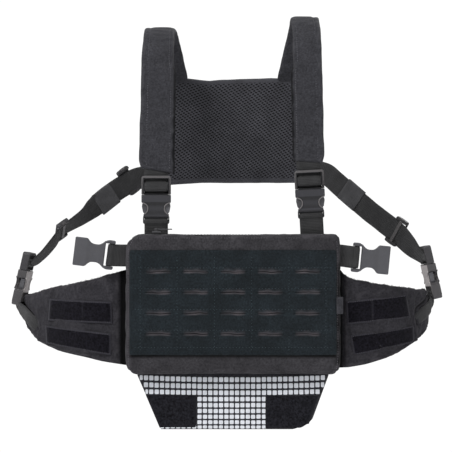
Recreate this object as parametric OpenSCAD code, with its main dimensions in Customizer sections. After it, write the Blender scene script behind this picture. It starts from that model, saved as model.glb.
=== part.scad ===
// Chest harness vest: a zipped pouch with side wings and a drop flap, carried by two
// padded shoulder straps that cross to a mesh back panel, and by two side straps.
// Millimetres, +Z up, the front faces -Y. The wearer's right side is -X.
// The origin is midway between the two places where the pads rest on the shoulders.

/* [Pouch] */
// Width of the pouch
pouch_w = 224; // [200:1:240]
// Height of the pouch
pouch_h = 148; // [140:1:156]
// Depth of the pouch, front to back
pouch_d = 30; // [28:1:34]
// Height of the pouch top, below the shoulders
pouch_top = -222; // [-226:1:-220]
// Where the front face of the pouch lies
pouch_front = -105; // [-107:1:-103]
// Thickness of the pouch fabric
cloth = 2; // [1.6:0.2:2.4]

/* [Slotted panel] */
// Width of the slotted panel
panel_w = 217; // [205:1:220]
// Height of the slotted panel
panel_h = 112; // [108:1:116]
// Thickness of the slotted laminate
panel_t = 1.6; // [1.2:0.2:2]
// Pitch of the slot columns
slot_pitch_x = 39; // [37:0.5:40]
// Pitch of the slot rows
slot_pitch_z = 21.7; // [20:0.1:23]
// Length of one slot
slot_len = 26; // [22:1:28]
// Height of one slot
slot_h = 2.6; // [2:0.2:3.4]

/* [Flap] */
// Thickness of the flap cloth
flap_t = 2; // [1.6:0.2:2.4]
// Drop of the flap below its hinge line
flap_drop = 57; // [50:1:60]
// Width of the flap at its lower edge
flap_low_w = 152; // [140:1:160]
// Width of the flap at its upper edge
flap_top_w = 202; // [190:1:206]

/* [Wings] */
// Radius that the wings follow round the waist
wing_r = 110; // [108:1:112]
// How much tighter the left wing is pulled in than the right one
wing_step = 13; // [0:1:14]
// Thickness of a wing
wing_t = 7; // [6:0.5:7]

/* [Shoulders] */
// Thickness of a shoulder pad
pad_t = 8; // [6:0.5:9]
// Inside radius of the pad over the shoulder
shoulder_r = 62; // [56:1:66]
// How much the left shoulder sits above the right one
shoulder_step = 12; // [0:1:16]

/* [Back panel] */
// Width of the back panel at its top
back_top_w = 200; // [196:1:204]
// Width of the back panel at its bottom
back_low_w = 184; // [180:1:188]
// Height of the back panel
back_h = 118; // [114:1:120]
// Thickness of the back panel
back_t = 8; // [7:0.5:9]

/* [Webbing and buckles] */
// Width of the webbing
web_w = 25; // [24:0.5:25]
// Thickness of the webbing
web_t = 1.6; // [1.4:0.1:1.8]
// Width of a buckle
buckle_w = 31; // [30:0.5:33]
// Thickness of a buckle
buckle_t = 9; // [8:0.5:10]

/* [Hidden] */
$fn = 48;

// Clearance between pieces that move past each other
gap = 0.4;
eps = 0.01;
// Something longer than the whole vest, for cutting
reach = 600;

pouch_back = pouch_front + pouch_d;
pouch_low = pouch_top - pouch_h;
pouch_corner = 9;

// Zip along the pouch top
zip_y = pouch_front + 12;
zip_slot_w = 10;
zip_len = pouch_w - 24;
chain_w = 2.4;
slider_x = -85;
slider_len = 9;
pull_x = slider_x + 4;
pull_z = pouch_top + 4.6;
pull_pin_r = 0.6;

// Slotted panel
panel_top = pouch_top - 17;
slot_cols = 5;
slot_rows = 4;
first_row = panel_top - 23;

// Flap
flap_y = pouch_back - 5.5;
flap_hinge_z = pouch_low - 1.6;
tile_t = 0.8;
patch_t = 1.4;

// Wings, in plan and in front view, for the wearer's right side
wing_x = -pouch_w / 2 - 3;
wing_outline_right = [[-113, -260], [-152, -271], [-192, -280], [-232, -290], [-232, -308],
    [-226, -320], [-220, -328], [-209, -334], [-192, -342], [-162, -351], [-138, -357],
    [-113, -361]];
wing_outline_left = [[-113, -260], [-124, -268.6], [-189, -276.5], [-220, -283], [-220, -303],
    [-217, -316], [-210, -329], [-197.5, -336.5], [-183, -345], [-162, -354], [-140, -360.5],
    [-113, -363.5]];
loops_right = [[[-192, -292], [-128, -294], [-127, -316.5], [-194, -315]],
    [[-197, -322], [-128, -327], [-128, -349.5], [-196, -339]]];
loops_left = [[[-181.5, -288], [-121, -294], [-121, -317.5], [-187, -311.5]],
    [[-189, -320.5], [-123, -329], [-127, -352], [-190, -336.5]]];
tab_len = 33;

// Shoulder pads: where the arch over the shoulder is centred, and where its two legs end
arch_y = -5;
arch_z = -shoulder_r;
pad_front = [pouch_back - 4, -150];
pad_rear = [81, -46.5];
pad_skin = 1.2;
pad_front_outline = [[-95, 40], [-62.5, 40], [-64.5, -180], [-100.5, -180]];
pad_rear_outline = [[-95, 40], [-62.5, 40], [-62.5, 5], [-50, -49], [-50, -90], [-100, -90],
    [-100, -49], [-95, 5]];

// Back panel
back_y = 77;
back_top = -50;
back_skin = 1.2;

// Buckle lengths, counted along a buckle from the edge of the plug's window
ladder_up = 19.5;
ladder_bar = 4.2;
plug_base = 4;
grip_bar_low = -5;
grip_bar_high = -11;
head_len = 5.2;
waist_len = 13;
waist_w = 15;
bar_r = 2;
prong_x = 10;
prong_knuckle = 1.4;
prong_root = 5.8;

// Where each buckle's window edge lies, its lean and its lengths
shoulder_buckle_x = -81;
shoulder_buckle_y = pouch_back - 8;
shoulder_buckle_z = [-180.5, -174.5];
shoulder_buckle_lean = [0, 3];
shoulder_tail = 9;
side_buckle = [[-226.7, 14, -262], [-214, 14, -255]];
side_buckle_lean = 12.5;
side_tail = 15;
open_head = 14.5;
open_waist = 15;
open_tail = 11;
open_stub_root = -pouch_w / 2 - 1.5;
open_bar_x = open_stub_root - 15.5;
open_drop = -232;
stub_plane = pouch_front + 14;

// Side straps: their corners from the back panel round to the slider
strap_right = [[-84, 81, -157], [-107, 78, -160.5], [-154.4, 53, -199], [-191, 30, -226.5]];
strap_left = [[-84, 81, -151], [-104, 78, -155], [-152, 50, -198], [-187, 27, -226]];
keeper_at = [0.726, 0.6];
keeper_len = 22;
glide_at = [0.84, 0.75];
rear_glide_at = 0.27;
buckle_strap_top = [[-201, 23, -241], [-192, 22, -241]];

// Of a pair of values, the one for this side: right first, left second
function side_value(s, pair) = pair[s > 0 ? 1 : 0];
function unit(v) = v / norm(v);
function mix(a, b, t) = a + (b - a) * t;
function inset(outline, f) = let (n = len(outline), c = sum(outline) / n)
    [for (p = outline) c + (p - c) * f];
function sum(list, i = 0) = i < len(list) ? list[i] + sum(list, i + 1) : list[0] * 0;
function arc(c, r, a0, a1, n) = [for (i = [0:n]) let (a = a0 + (a1 - a0) * i / n)
    c + r * [cos(a), sin(a)]];
// Unit normal of a path at each point, to the left of its run
function normal(path, i) = let (a = path[max(i - 1, 0)], b = path[min(i + 1, len(path) - 1)],
    d = unit(b - a)) [-d[1], d[0]];
// A band round a path, from one distance on its right to another on its left
function band(path, right, left) = concat(
    [for (i = [0:len(path) - 1]) path[i] + normal(path, i) * left],
    [for (i = [len(path) - 1:-1:0]) path[i] + normal(path, i) * right]);
// Arch of a pad in side view: y, z pairs, each leg tangent to the arch
function tangent_angle(c, r, p, turn) = atan2(p[1] - c[1], p[0] - c[0])
    + turn * acos(r / norm(p - c));
function pad_path(lift, trim) = let (c = [arch_y, arch_z + lift], r = shoulder_r + pad_t / 2,
    f = pad_front + [0, lift], a0 = tangent_angle(c, r, f, -1) + 360,
    a1 = tangent_angle(c, r, pad_rear, 1), turn = arc(c, r, a0, a1, 14))
    concat([f + unit(turn[0] - f) * trim], turn, [pad_rear + unit(turn[14] - pad_rear) * trim]);
function wing_radius(s) = wing_r - (s > 0 ? wing_step : 0);
function wing_path(s) = arc([wing_x, pouch_back - 5 + wing_radius(s)], wing_radius(s), 270, 181, 18);
function wing_outline(s) = side_value(s, [wing_outline_right, wing_outline_left]);
function strap_corner(s, i) = side_value(s, [strap_right, strap_left])[i];
function lift(s) = s * shoulder_step / 2;

// Builds a piece drawn for the wearer's right (-X) on either side: s is -1 right, 1 left
module on_side(s) {
    mirror([s > 0 ? 1 : 0, 0, 0]) children();
}
// Lays the drawing's x, y, z along the directions u, v, w, at the point o
module laid(o, u, v, w) {
    multmatrix([[u[0], v[0], w[0], o[0]], [u[1], v[1], w[1], o[1]], [u[2], v[2], w[2], o[2]],
        [0, 0, 0, 1]]) children();
}
// Extrudes a front-view outline (x, z) from y0 to y1
module front_extrude(outline, y0, y1) {
    translate([0, y1, 0]) rotate([90, 0, 0]) linear_extrude(y1 - y0) polygon(outline);
}
// Extrudes a side-view outline (y, z) from x0 to x1
module side_extrude(outline, x0, x1) {
    laid([x0, 0, 0], [0, 1, 0], [0, 0, 1], [1, 0, 0]) linear_extrude(x1 - x0) polygon(outline);
}
module box(x0, x1, y0, y1, z0, z1) {
    translate([x0, y0, z0]) cube([x1 - x0, y1 - y0, z1 - z0]);
}
// A plate standing in the X-Z plane with round corners
module round_plate(w, z0, z1, y0, y1, r) {
    box(-w / 2 + r, w / 2 - r, y0, y1, z0, z1);
    box(-w / 2, w / 2, y0, y1, z0 + r, z1 - r);
    for (x = [-w / 2 + r, w / 2 - r], z = [z0 + r, z1 - r]) {
        translate([x, y0, z]) rotate([-90, 0, 0]) cylinder(r = r, h = y1 - y0);
    }
}
// A strap along a straight run from a to b, its width along the direction w
module strap_run(a, b, w, thick, width) {
    d = unit(b - a);
    side = unit(w - d * (w * d));
    laid(a, d, side, cross(d, side)) box(0, norm(b - a), -width / 2, width / 2, -thick / 2, thick / 2);
}

// ---- Pouch ----
module pouch_shell() {
    color("#2d2c30") difference() {
        round_plate(pouch_w, pouch_low, pouch_top, pouch_front, pouch_back - cloth, pouch_corner);
        round_plate(pouch_w - 2 * cloth, pouch_low + cloth, pouch_top - cloth,
            pouch_front + cloth, pouch_back, pouch_corner - cloth);
        box(-zip_len / 2, zip_len / 2, zip_y - zip_slot_w / 2, zip_y + zip_slot_w / 2,
            pouch_top - cloth - 1, pouch_top + 1);
    }
}
module pouch_back_panel() {
    color("#242427") round_plate(pouch_w, pouch_low, pouch_top, pouch_back - cloth, pouch_back,
        pouch_corner);
}
module slot_panel() {
    color("#1c2428") difference() {
        box(-panel_w / 2, panel_w / 2, pouch_front - panel_t - gap, pouch_front - gap,
            panel_top - panel_h, panel_top);
        for (i = [0:slot_cols - 1], j = [0:slot_rows - 1]) {
            translate([(i - (slot_cols - 1) / 2) * slot_pitch_x, pouch_front, first_row - j * slot_pitch_z])
                slot_cutter();
        }
    }
}
module slot_cutter() {
    straight = slot_len - slot_h;
    box(-straight / 2, straight / 2, -panel_t - 2, 2, -slot_h / 2, slot_h / 2);
    for (x = [-straight / 2, straight / 2]) {
        translate([x, 2, 0]) rotate([90, 0, 0]) cylinder(d = slot_h, h = panel_t + 4);
    }
}
module zip_tape() {
    color("#202022") for (s = [-1, 1]) {
        translate([0, zip_y + s * (zip_slot_w + chain_w) / 4, pouch_top - cloth / 2])
            cube([zip_len, (zip_slot_w - chain_w) / 2, 0.8], center = true);
    }
}
module zip_chain() {
    color("#19191b") translate([0, zip_y, pouch_top - cloth / 2])
        cube([zip_len, chain_w, chain_w], center = true);
}
module zip_slider() {
    color("#303033") {
        box(slider_x, slider_x + slider_len, zip_y - 4, zip_y + 4, pouch_top + 1.2, pouch_top + 2.6);
        for (y = [zip_y - 2.6, zip_y + 1.6]) {
            box(pull_x - 1.5, pull_x + 1.5, y, y + 1, pouch_top + 2.5, pull_z + 1.4);
        }
        translate([pull_x, zip_y + 2, pull_z]) rotate([90, 0, 0]) cylinder(r = pull_pin_r, h = 4);
    }
}
// The pull turns on the pin between the slider's two ears
module zip_pull() {
    color("#38383b") difference() {
        union() {
            translate([pull_x, zip_y + 1.4, pull_z]) rotate([90, 0, 0]) cylinder(r = 1.3, h = 2.8);
            box(pull_x, pull_x + 2.6, zip_y - 1.4, zip_y + 1.4, pull_z - 0.6, pull_z + 0.6);
            box(pull_x + 2.4, pull_x + 17, zip_y - 2.2, zip_y + 2.2, pull_z - 0.6, pull_z + 0.6);
        }
        translate([pull_x, zip_y + 3, pull_z]) rotate([90, 0, 0]) cylinder(r = pull_pin_r + 0.05, h = 6);
        translate([pull_x + 14, zip_y, pull_z - 1]) cylinder(r = 1, h = 2);
    }
}
module side_tag() {
    color("#3a3a3e") box(pouch_w / 2 + 0.1, pouch_w / 2 + 6, pouch_front + 6, pouch_front + 7,
        pouch_top - 84, pouch_top - 66);
}

// ---- Flap ----
flap_outline = [[-flap_top_w / 2, 0], [flap_top_w / 2, 0], [flap_low_w / 2 + 4, 8 - flap_drop],
    [flap_low_w / 2 - 4, -flap_drop], [-flap_low_w / 2 + 3, -flap_drop],
    [-flap_low_w / 2 - 3, 6 - flap_drop]];
hook_outline = [[-92, -21], [-39, -21], [-39, 3 - flap_drop], [-76, 3 - flap_drop]];

module flap_base() {
    color("#27272a") translate([0, 0, flap_hinge_z])
        front_extrude(flap_outline, flap_y - flap_t / 2, flap_y + flap_t / 2);
}
module flap_tiles() {
    front = flap_y - flap_t / 2;
    color("#dde2e8") translate([0, 0, flap_hinge_z]) difference() {
        front_extrude(inset(flap_outline, 0.93), front - tile_t, front);
        for (s = [-1, 1]) {
            on_side(s) front_extrude(hook_outline, front - tile_t - 1, front + 1);
        }
    }
}
module flap_hook_patches() {
    front = flap_y - flap_t / 2;
    color("#17171a") translate([0, 0, flap_hinge_z]) for (s = [-1, 1]) {
        on_side(s) front_extrude(hook_outline, front - patch_t, front);
    }
}

// ---- Wings ----
module wing_shape(s, outline, right, left) {
    intersection() {
        translate([0, 0, -450]) linear_extrude(300) polygon(band(wing_path(s), right, left));
        front_extrude(outline, -reach, reach);
    }
}
module wing_core(s) {
    wing_shape(s, inset(wing_outline(s), 0.96), -wing_t / 2 + 1, wing_t / 2 - 1);
}
module wing_cover(s) {
    color("#2e2d31") on_side(s) difference() {
        wing_shape(s, wing_outline(s), -wing_t / 2, wing_t / 2);
        wing_core(s);
    }
}
module wing_foam(s) {
    color("#55565a") on_side(s) wing_core(s);
}
module wing_loop_patches(s) {
    color("#1a1920") on_side(s) for (loop = side_value(s, [loops_right, loops_left])) {
        wing_shape(s, loop, wing_t / 2, wing_t / 2 + 1.2);
    }
}
// A webbing tab sewn to the wing tip, folded round the bar of the side buckle
module wing_tab(s) {
    bar = [side_bar(s)[0], side_bar(s)[2]];
    low = bar[1] - tab_len;
    face = wing_x - wing_radius(s) - wing_t / 2 - 0.2;
    fold = bar_r + 0.3 + web_t;
    color("#2b2b2a") on_side(s) translate([0, side_bar(s)[1] + web_w / 2, 0]) rotate([90, 0, 0])
        linear_extrude(web_w) difference() {
            union() {
                translate(bar) circle(r = fold);
                polygon([[face - web_t, low], [face, low], [face, bar[1] - 8], bar + [fold, 0],
                    bar - [0, fold], [face - web_t, bar[1] - 10]]);
            }
            translate(bar) circle(r = bar_r + 0.3);
        }
}

// ---- Buckles: drawn with x across, y along from plug to socket, z through ----
module socket(head, waist, tail) {
    start = plug_base + 0.3;
    end = socket_end(head, waist, tail);
    cheek = 2.4;
    difference() {
        union() {
            box(-buckle_w / 2, buckle_w / 2, start, start + head, -buckle_t / 2, buckle_t / 2);
            box(-waist_w / 2, waist_w / 2, start, start + head + waist, -buckle_t / 2, buckle_t / 2);
            box(-buckle_w / 2 + 1, buckle_w / 2 - 1, start + head + waist, start + head + waist + 2.4,
                -buckle_t / 2, buckle_t / 2);
            for (x = [-buckle_w / 2 + 1, buckle_w / 2 - 1 - cheek]) {
                box(x, x + cheek, start + head + waist, end - bar_r, -bar_r, bar_r);
            }
        }
        box(-buckle_w / 2 + 2, buckle_w / 2 - 2, start - 1, start + head + eps, -2.7, 2.7);
        box(-waist_w / 2 + 2, waist_w / 2 - 2, start - 1, start + head + waist - 2, -2.7, 2.7);
        box(-web_w / 2 - 0.3, web_w / 2 + 0.3, start + head + waist + 2.4, reach, -reach, reach);
    }
    translate([0, end - bar_r, 0]) rotate([0, 90, 0])
        cylinder(r = bar_r, h = buckle_w - 2, center = true);
}
function socket_end(head, waist, tail) = plug_base + 0.3 + head + waist + tail;
module plug() {
    half = buckle_w / 2;
    difference() {
        union() {
            box(-half, half, -ladder_up, plug_base, -3, 3);
            box(-3.5, 3.5, plug_base - 1, plug_base + 12, -2, 2);
        }
        box(-web_w / 2 - 0.6, web_w / 2 + 0.6, -ladder_up + ladder_bar, grip_bar_high, -9, 9);
        box(-web_w / 2 - 0.6, web_w / 2 + 0.6, grip_bar_high - 1, grip_bar_low + 1, 1.4, 9);
        box(-web_w / 2 - 0.6, web_w / 2 + 0.6, grip_bar_high - 1, grip_bar_low + 1, -9, -1.4);
        box(-web_w / 2 - 0.6, web_w / 2 + 0.6, grip_bar_low, 0, -9, 9);
        for (x = [-prong_x, prong_x]) {
            translate([x, prong_root, 0]) cylinder(r = prong_knuckle + 0.4 + 1.6, h = 9, center = true);
        }
    }
}
// One sprung arm of the plug, with the barb that shows in the socket's side
module prong() {
    barb = plug_base + 0.3 + head_len + 0.4;
    translate([prong_x, prong_root, 0]) cylinder(r = prong_knuckle, h = 4.4, center = true);
    box(prong_x - 1.1, prong_x + 1.1, prong_root, barb + 1, -2.2, 2.2);
    translate([0, 0, -2.2]) linear_extrude(4.4) polygon([[prong_x - 1.1, barb],
        [buckle_w / 2 - 0.8, barb], [buckle_w / 2 - 0.4, barb + 3], [buckle_w / 2 - 1.6, barb + 9],
        [buckle_w / 2 - 3.4, barb + 11], [prong_x - 0.4, barb + 11]]);
}
// Webbing folded round the plug's grip bar, with its tail behind the ladder's top bar
module ladder_webbing(tail) {
    mid = (grip_bar_high + grip_bar_low) / 2;
    long = (grip_bar_low - grip_bar_high) / 2 + 0.3;
    difference() {
        box(-web_w / 2, web_w / 2, mid - long - web_t, mid + long + web_t, -1.7 - web_t, 1.7 + web_t);
        box(-reach, reach, mid - long, mid + long, -1.7, 1.7);
    }
    box(-web_w / 2, web_w / 2, -ladder_up - tail, mid, 3.2, 3.2 + web_t);
    box(-web_w / 2, web_w / 2, mid - long - web_t, mid, 1.7, 3.2 + web_t);
}
// Frames of the buckles: x across, y downwards along the buckle, z to the wearer
module at_shoulder(s) {
    a = side_value(s, shoulder_buckle_lean);
    on_side(s) laid([shoulder_buckle_x, shoulder_buckle_y, side_value(s, shoulder_buckle_z)],
        [cos(a), 0, -sin(a)], [-sin(a), 0, -cos(a)], [0, 1, 0]) children();
}
function side_along() = [-sin(side_buckle_lean), 0, -cos(side_buckle_lean)];
function side_out() = [cos(side_buckle_lean), 0, -sin(side_buckle_lean)];
function side_bar(s) = side_value(s, side_buckle)
    + side_along() * (socket_end(head_len, waist_len, side_tail) - bar_r);
module at_side(s) {
    on_side(s) laid(side_value(s, side_buckle), [0, -1, 0], side_along(), side_out()) children();
}

// ---- Shoulders ----
module pad_shape(s, half, trim, f) {
    intersection() {
        side_extrude(band(pad_path(lift(s), trim), -half, half), -reach, 0);
        union() {
            front_extrude(inset(pad_front_outline, f), -reach, arch_y);
            front_extrude(inset(pad_rear_outline, f), arch_y, reach);
        }
    }
}
module pad_cover(s) {
    color("#3c3c40") on_side(s) difference() {
        pad_shape(s, pad_t / 2, 0, 1);
        pad_shape(s, pad_t / 2 - pad_skin, pad_skin, 0.95);
    }
}
module pad_foam(s) {
    color("#6a6b70") on_side(s) pad_shape(s, pad_t / 2 - pad_skin, pad_skin, 0.95);
}
module shoulder_strap(s) {
    tail = pad_front[1] + lift(s) - side_value(s, shoulder_buckle_z) - ladder_up - 1;
    color("#2d2d2b") at_shoulder(s) ladder_webbing(tail);
}
module shoulder_plug(s) {
    color("#424246") at_shoulder(s) plug();
}
module shoulder_prong(s, turn) {
    color("#3d3d41") at_shoulder(s) mirror([turn > 0 ? 1 : 0, 0, 0]) prong();
}
module shoulder_socket(s) {
    color("#424246") at_shoulder(s) socket(head_len, waist_len, shoulder_tail);
}
// Webbing folded round the socket's bar and sewn to the top of the pouch
module pouch_stub(s) {
    bar = socket_end(head_len, waist_len, shoulder_tail) - bar_r;
    low = side_value(s, shoulder_buckle_z) - pouch_top - 0.7;
    color("#2d2d2b") at_shoulder(s) {
        translate([0, bar, 0]) rotate([0, 90, 0]) difference() {
            cylinder(r = bar_r + 0.3 + web_t, h = web_w, center = true);
            cylinder(r = bar_r + 0.3, h = web_w + 1, center = true);
        }
        box(-web_w / 2, web_w / 2, bar + bar_r + 0.4, low, -web_t / 2, web_t / 2);
    }
}

// ---- Back panel ----
back_outline = [[-back_top_w / 2, back_top], [back_top_w / 2, back_top],
    [back_low_w / 2, back_top - back_h], [-back_low_w / 2, back_top - back_h]];
module back_cover() {
    color("#333336") difference() {
        front_extrude(back_outline, back_y, back_y + back_t);
        front_extrude(inset(back_outline, 0.93), back_y - 1, back_y + back_t - back_skin);
    }
}
module back_foam() {
    color("#5c5d62") front_extrude(inset(back_outline, 0.93), back_y + back_skin, back_y + back_t - back_skin);
}
module back_mesh() {
    color("#3c3c40") front_extrude(inset(back_outline, 0.93), back_y, back_y + back_skin);
}

// ---- Side straps ----
web_up = [0, 0, 1];
module side_strap(s) {
    color("#2b2b2a") on_side(s) difference() {
        union() {
            for (i = [0:2]) {
                strap_run(strap_corner(s, i), strap_corner(s, i + 1), web_up, web_t, web_w);
            }
        }
        front_extrude(back_outline, -reach, reach);
    }
}
// A sleeve or frame that slides on the strap's run after corner i, drawn with x along the run
module on_run(s, i, t) {
    a = strap_corner(s, i);
    b = strap_corner(s, i + 1);
    d = unit(b - a);
    side = unit(web_up - d * (web_up * d));
    on_side(s) laid(mix(a, b, t), d, side, cross(d, side)) children();
}
module strap_keeper(s) {
    half = web_t / 2 + gap;
    color("#3a3a3a") on_run(s, 1, side_value(s, keeper_at)) difference() {
        box(-keeper_len / 2, keeper_len / 2, -web_w / 2 - gap - 1.2, web_w / 2 + gap + 1.2,
            -half - 1.2, half + 1.2);
        box(-reach, reach, -web_w / 2 - gap, web_w / 2 + gap, -half, half);
    }
}
module glide_frame() {
    half = web_t / 2 + gap;
    side = web_w / 2 + gap;
    for (x = [-6.5, 0, 6.5]) {
        translate([x, 0, -half - 1.5]) rotate([90, 0, 0]) cylinder(r = 1.4, h = 2 * side + 4, center = true);
    }
    for (y = [-side - 2.2, side]) {
        box(-7.9, 7.9, y, y + 2.2, -half - 2.9, half + 0.6);
    }
}
module tri_glide(s) {
    color("#39393c") on_run(s, 2, side_value(s, glide_at)) glide_frame();
}
module rear_tri_glide(s) {
    color("#39393c") on_run(s, 1, rear_glide_at) glide_frame();
}
module buckle_strap(s) {
    end = side_value(s, side_buckle) + side_along() * (grip_bar_high - 0.5) + side_out() * 5.6;
    color("#2b2b2a") on_side(s)
        strap_run(side_value(s, buckle_strap_top), end, [0, 1, 0], web_t, web_w * 0.8);
    color("#2b2b2a") at_side(s) ladder_webbing(-6.5);
}
module side_plug(s) {
    color("#424246") at_side(s) plug();
}
module side_prong(s, turn) {
    color("#3d3d41") at_side(s) mirror([turn > 0 ? 1 : 0, 0, 0]) prong();
}
module side_socket(s) {
    color("#424246") at_side(s) socket(head_len, waist_len, side_tail);
}

// ---- Open side stubs: a short strap and an empty socket, in front of each wing ----
module open_stub(s) {
    color("#2b2b2a") on_side(s) {
        box(open_bar_x + bar_r + 0.3, open_stub_root, stub_plane - web_t / 2, stub_plane + web_t / 2,
            open_drop - web_w, open_drop);
        translate([open_bar_x, stub_plane, open_drop - web_w]) difference() {
            cylinder(r = bar_r + 0.3 + web_t, h = web_w);
            translate([0, 0, -1]) cylinder(r = bar_r + 0.3, h = web_w + 2);
        }
    }
}
module open_socket(s) {
    end = socket_end(open_head, open_waist, open_tail);
    color("#3f3f43") on_side(s) laid([open_bar_x - end + bar_r, stub_plane, open_drop - web_w / 2],
        [0, 0, 1], [1, 0, 0], [0, 1, 0]) socket(open_head, open_waist, open_tail);
}

pouch_shell();
pouch_back_panel();
slot_panel();
zip_tape();
zip_chain();
zip_slider();
zip_pull();
side_tag();
flap_base();
flap_tiles();
flap_hook_patches();
back_mesh();
back_foam();
back_cover();
rear_tri_glide(-1);  // rear_tri_glide_right
pad_cover(-1);  // pad_cover_right
pad_cover(1);  // pad_cover_left
pad_foam(-1);  // pad_foam_right
pad_foam(1);  // pad_foam_left
shoulder_strap(-1);  // shoulder_strap_right
shoulder_strap(1);  // shoulder_strap_left
shoulder_plug(-1);  // shoulder_plug_right
shoulder_plug(1);  // shoulder_plug_left
shoulder_prong(-1, -1);  // shoulder_prong_inner_right
shoulder_prong(1, -1);  // shoulder_prong_inner_left
shoulder_prong(-1, 1);  // shoulder_prong_outer_right
shoulder_prong(1, 1);  // shoulder_prong_outer_left
shoulder_socket(-1);  // shoulder_socket_right
shoulder_socket(1);  // shoulder_socket_left
pouch_stub(-1);  // pouch_stub_right
pouch_stub(1);  // pouch_stub_left
wing_cover(-1);  // wing_cover_right
wing_cover(1);  // wing_cover_left
wing_foam(-1);  // wing_foam_right
wing_foam(1);  // wing_foam_left
wing_loop_patches(-1);  // wing_loop_patches_right
wing_loop_patches(1);  // wing_loop_patches_left
wing_tab(-1);  // wing_tab_right
wing_tab(1);  // wing_tab_left
side_strap(-1);  // side_strap_right
side_strap(1);  // side_strap_left
buckle_strap(-1);  // buckle_strap_right
buckle_strap(1);  // buckle_strap_left
strap_keeper(-1);  // strap_keeper_right
strap_keeper(1);  // strap_keeper_left
tri_glide(-1);  // tri_glide_right
tri_glide(1);  // tri_glide_left
side_plug(-1);  // side_plug_right
side_plug(1);  // side_plug_left
side_prong(-1, -1);  // side_prong_front_right
side_prong(1, -1);  // side_prong_front_left
side_prong(-1, 1);  // side_prong_rear_right
side_prong(1, 1);  // side_prong_rear_left
side_socket(-1);  // side_socket_right
side_socket(1);  // side_socket_left
open_stub(-1);  // open_stub_right
open_stub(1);  // open_stub_left
open_socket(-1);  // open_socket_right
open_socket(1);  // open_socket_left
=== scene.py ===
"""Looks of the chest harness vest: cloth, webbing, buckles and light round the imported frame."""
import math
import random

import bmesh
import bpy
import numpy as np
from mathutils import Matrix, Vector, noise


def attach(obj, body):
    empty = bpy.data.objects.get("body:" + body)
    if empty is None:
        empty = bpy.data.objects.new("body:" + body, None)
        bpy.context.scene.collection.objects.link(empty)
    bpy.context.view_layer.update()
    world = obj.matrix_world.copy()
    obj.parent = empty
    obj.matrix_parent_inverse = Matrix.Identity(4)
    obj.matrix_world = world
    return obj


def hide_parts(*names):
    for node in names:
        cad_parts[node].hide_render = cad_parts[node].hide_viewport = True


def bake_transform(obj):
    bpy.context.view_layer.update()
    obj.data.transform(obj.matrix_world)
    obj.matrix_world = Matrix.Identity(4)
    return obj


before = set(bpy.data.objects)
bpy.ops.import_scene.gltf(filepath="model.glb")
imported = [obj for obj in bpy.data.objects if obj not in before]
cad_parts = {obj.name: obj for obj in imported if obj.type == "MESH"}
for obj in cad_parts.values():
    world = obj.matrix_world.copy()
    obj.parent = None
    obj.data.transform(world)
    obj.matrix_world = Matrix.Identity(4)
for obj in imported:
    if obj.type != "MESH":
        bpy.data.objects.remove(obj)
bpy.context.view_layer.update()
scene = bpy.context.scene
MM = 0.001
SIDES = ((-1, "right"), (1, "left"))


# ---------------------------------------------------------------- numbers and meshes
def unit(v):
    v = np.asarray(v, float)
    return v / np.maximum(np.linalg.norm(v, axis=-1, keepdims=True), 1e-9)


def between(a, b, t):
    """a where t is 0, b where t is 1."""
    return a * (1 - t) + b * t


def surface(x, y, z):
    """A grid of points from coordinates that spread over each other."""
    return np.stack(np.broadcast_arrays(x, y, z), -1).astype(float)


def sample(at, s, rows):
    """Rows of numbers known at the distances s, read off at others."""
    return np.stack([np.interp(at, s, rows[:, k]) for k in range(rows.shape[1])], -1)


def from_ends(t, length):
    """Distance to the nearer end of a run, from t going 0 to 1 along it."""
    return np.minimum(t, 1 - t) * length


def fbm(points, size, seed=0.0, octaves=3):
    """Smooth noise, about -1 to 1, with features of the given size in mm."""
    p = np.asarray(points, float)
    q = p.reshape(-1, 3) / size + seed * 7.31
    return np.array([noise.fractal(Vector(v), 1.0, 2.0, octaves) for v in q]).reshape(p.shape[:-1])


def ramp(x, a, b):
    """0 before a, 1 after b, smooth between them."""
    t = np.clip((np.asarray(x, float) - a) / (b - a), 0, 1)
    return t * t * (3 - 2 * t)


def build(name, verts, faces, mat, uvs=None, smooth=True, attrs=None):
    """An object from points in mm, with uvs in mm and named values for each point."""
    me = bpy.data.meshes.new(name)
    points = (np.asarray(verts, float) * MM).tolist()
    me.from_pydata(points, [], [tuple(int(i) for i in f) for f in faces])
    if uvs is not None:
        layer = me.uv_layers.new(name="UV")
        idx = np.zeros(len(me.loops), np.int32)
        me.loops.foreach_get("vertex_index", idx)
        layer.data.foreach_set("uv", (np.asarray(uvs, float) * MM)[idx].astype(np.float32).ravel())
    me.polygons.foreach_set("use_smooth", [smooth] * len(me.polygons))
    for key, values in (attrs or {}).items():
        a = me.attributes.new(key, "FLOAT", "POINT")
        a.data.foreach_set("value", np.asarray(values, np.float32).ravel())
    me.materials.append(mat)
    o = bpy.data.objects.new(name, me)
    scene.collection.objects.link(o)
    return o


def run_length(points):
    """Distance along a row of points, at each of them."""
    step = np.linalg.norm(np.diff(points, axis=0), axis=-1)
    return np.concatenate([[0], np.cumsum(step)])


def stations(length, step, edge=0.0):
    """Distances from 0 to length, closer together over the rounded edges."""
    if edge <= 0:
        return np.linspace(0, length, max(2, int(round(length / step)) + 1))
    lead = np.array([0, 0.07, 0.25, 0.55]) * edge
    mid = np.linspace(edge, length - edge, max(2, int(round((length - 2 * edge) / step)) + 1))
    return np.concatenate([lead, mid, length - lead[::-1]])


def edge_round(points, r):
    """0.1 at the rim to 1 at a distance r inside it, as a rounded edge. r is for u0, u1, v0, v1."""
    u = run_length(points[:, points.shape[1] // 2])[:, None]
    v = run_length(points[points.shape[0] // 2])[None, :]
    f = 1.0
    for d, rad in ((u, r[0]), (u[-1] - u, r[1]), (v, r[2]), (v[0, -1] - v, r[3])):
        if rad > 0:
            t = np.clip(d / rad, 0, 1)
            f = f * np.sqrt(np.maximum(1 - (1 - t) ** 2, 0.01))
    return f * np.ones(points.shape[:2])


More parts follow.
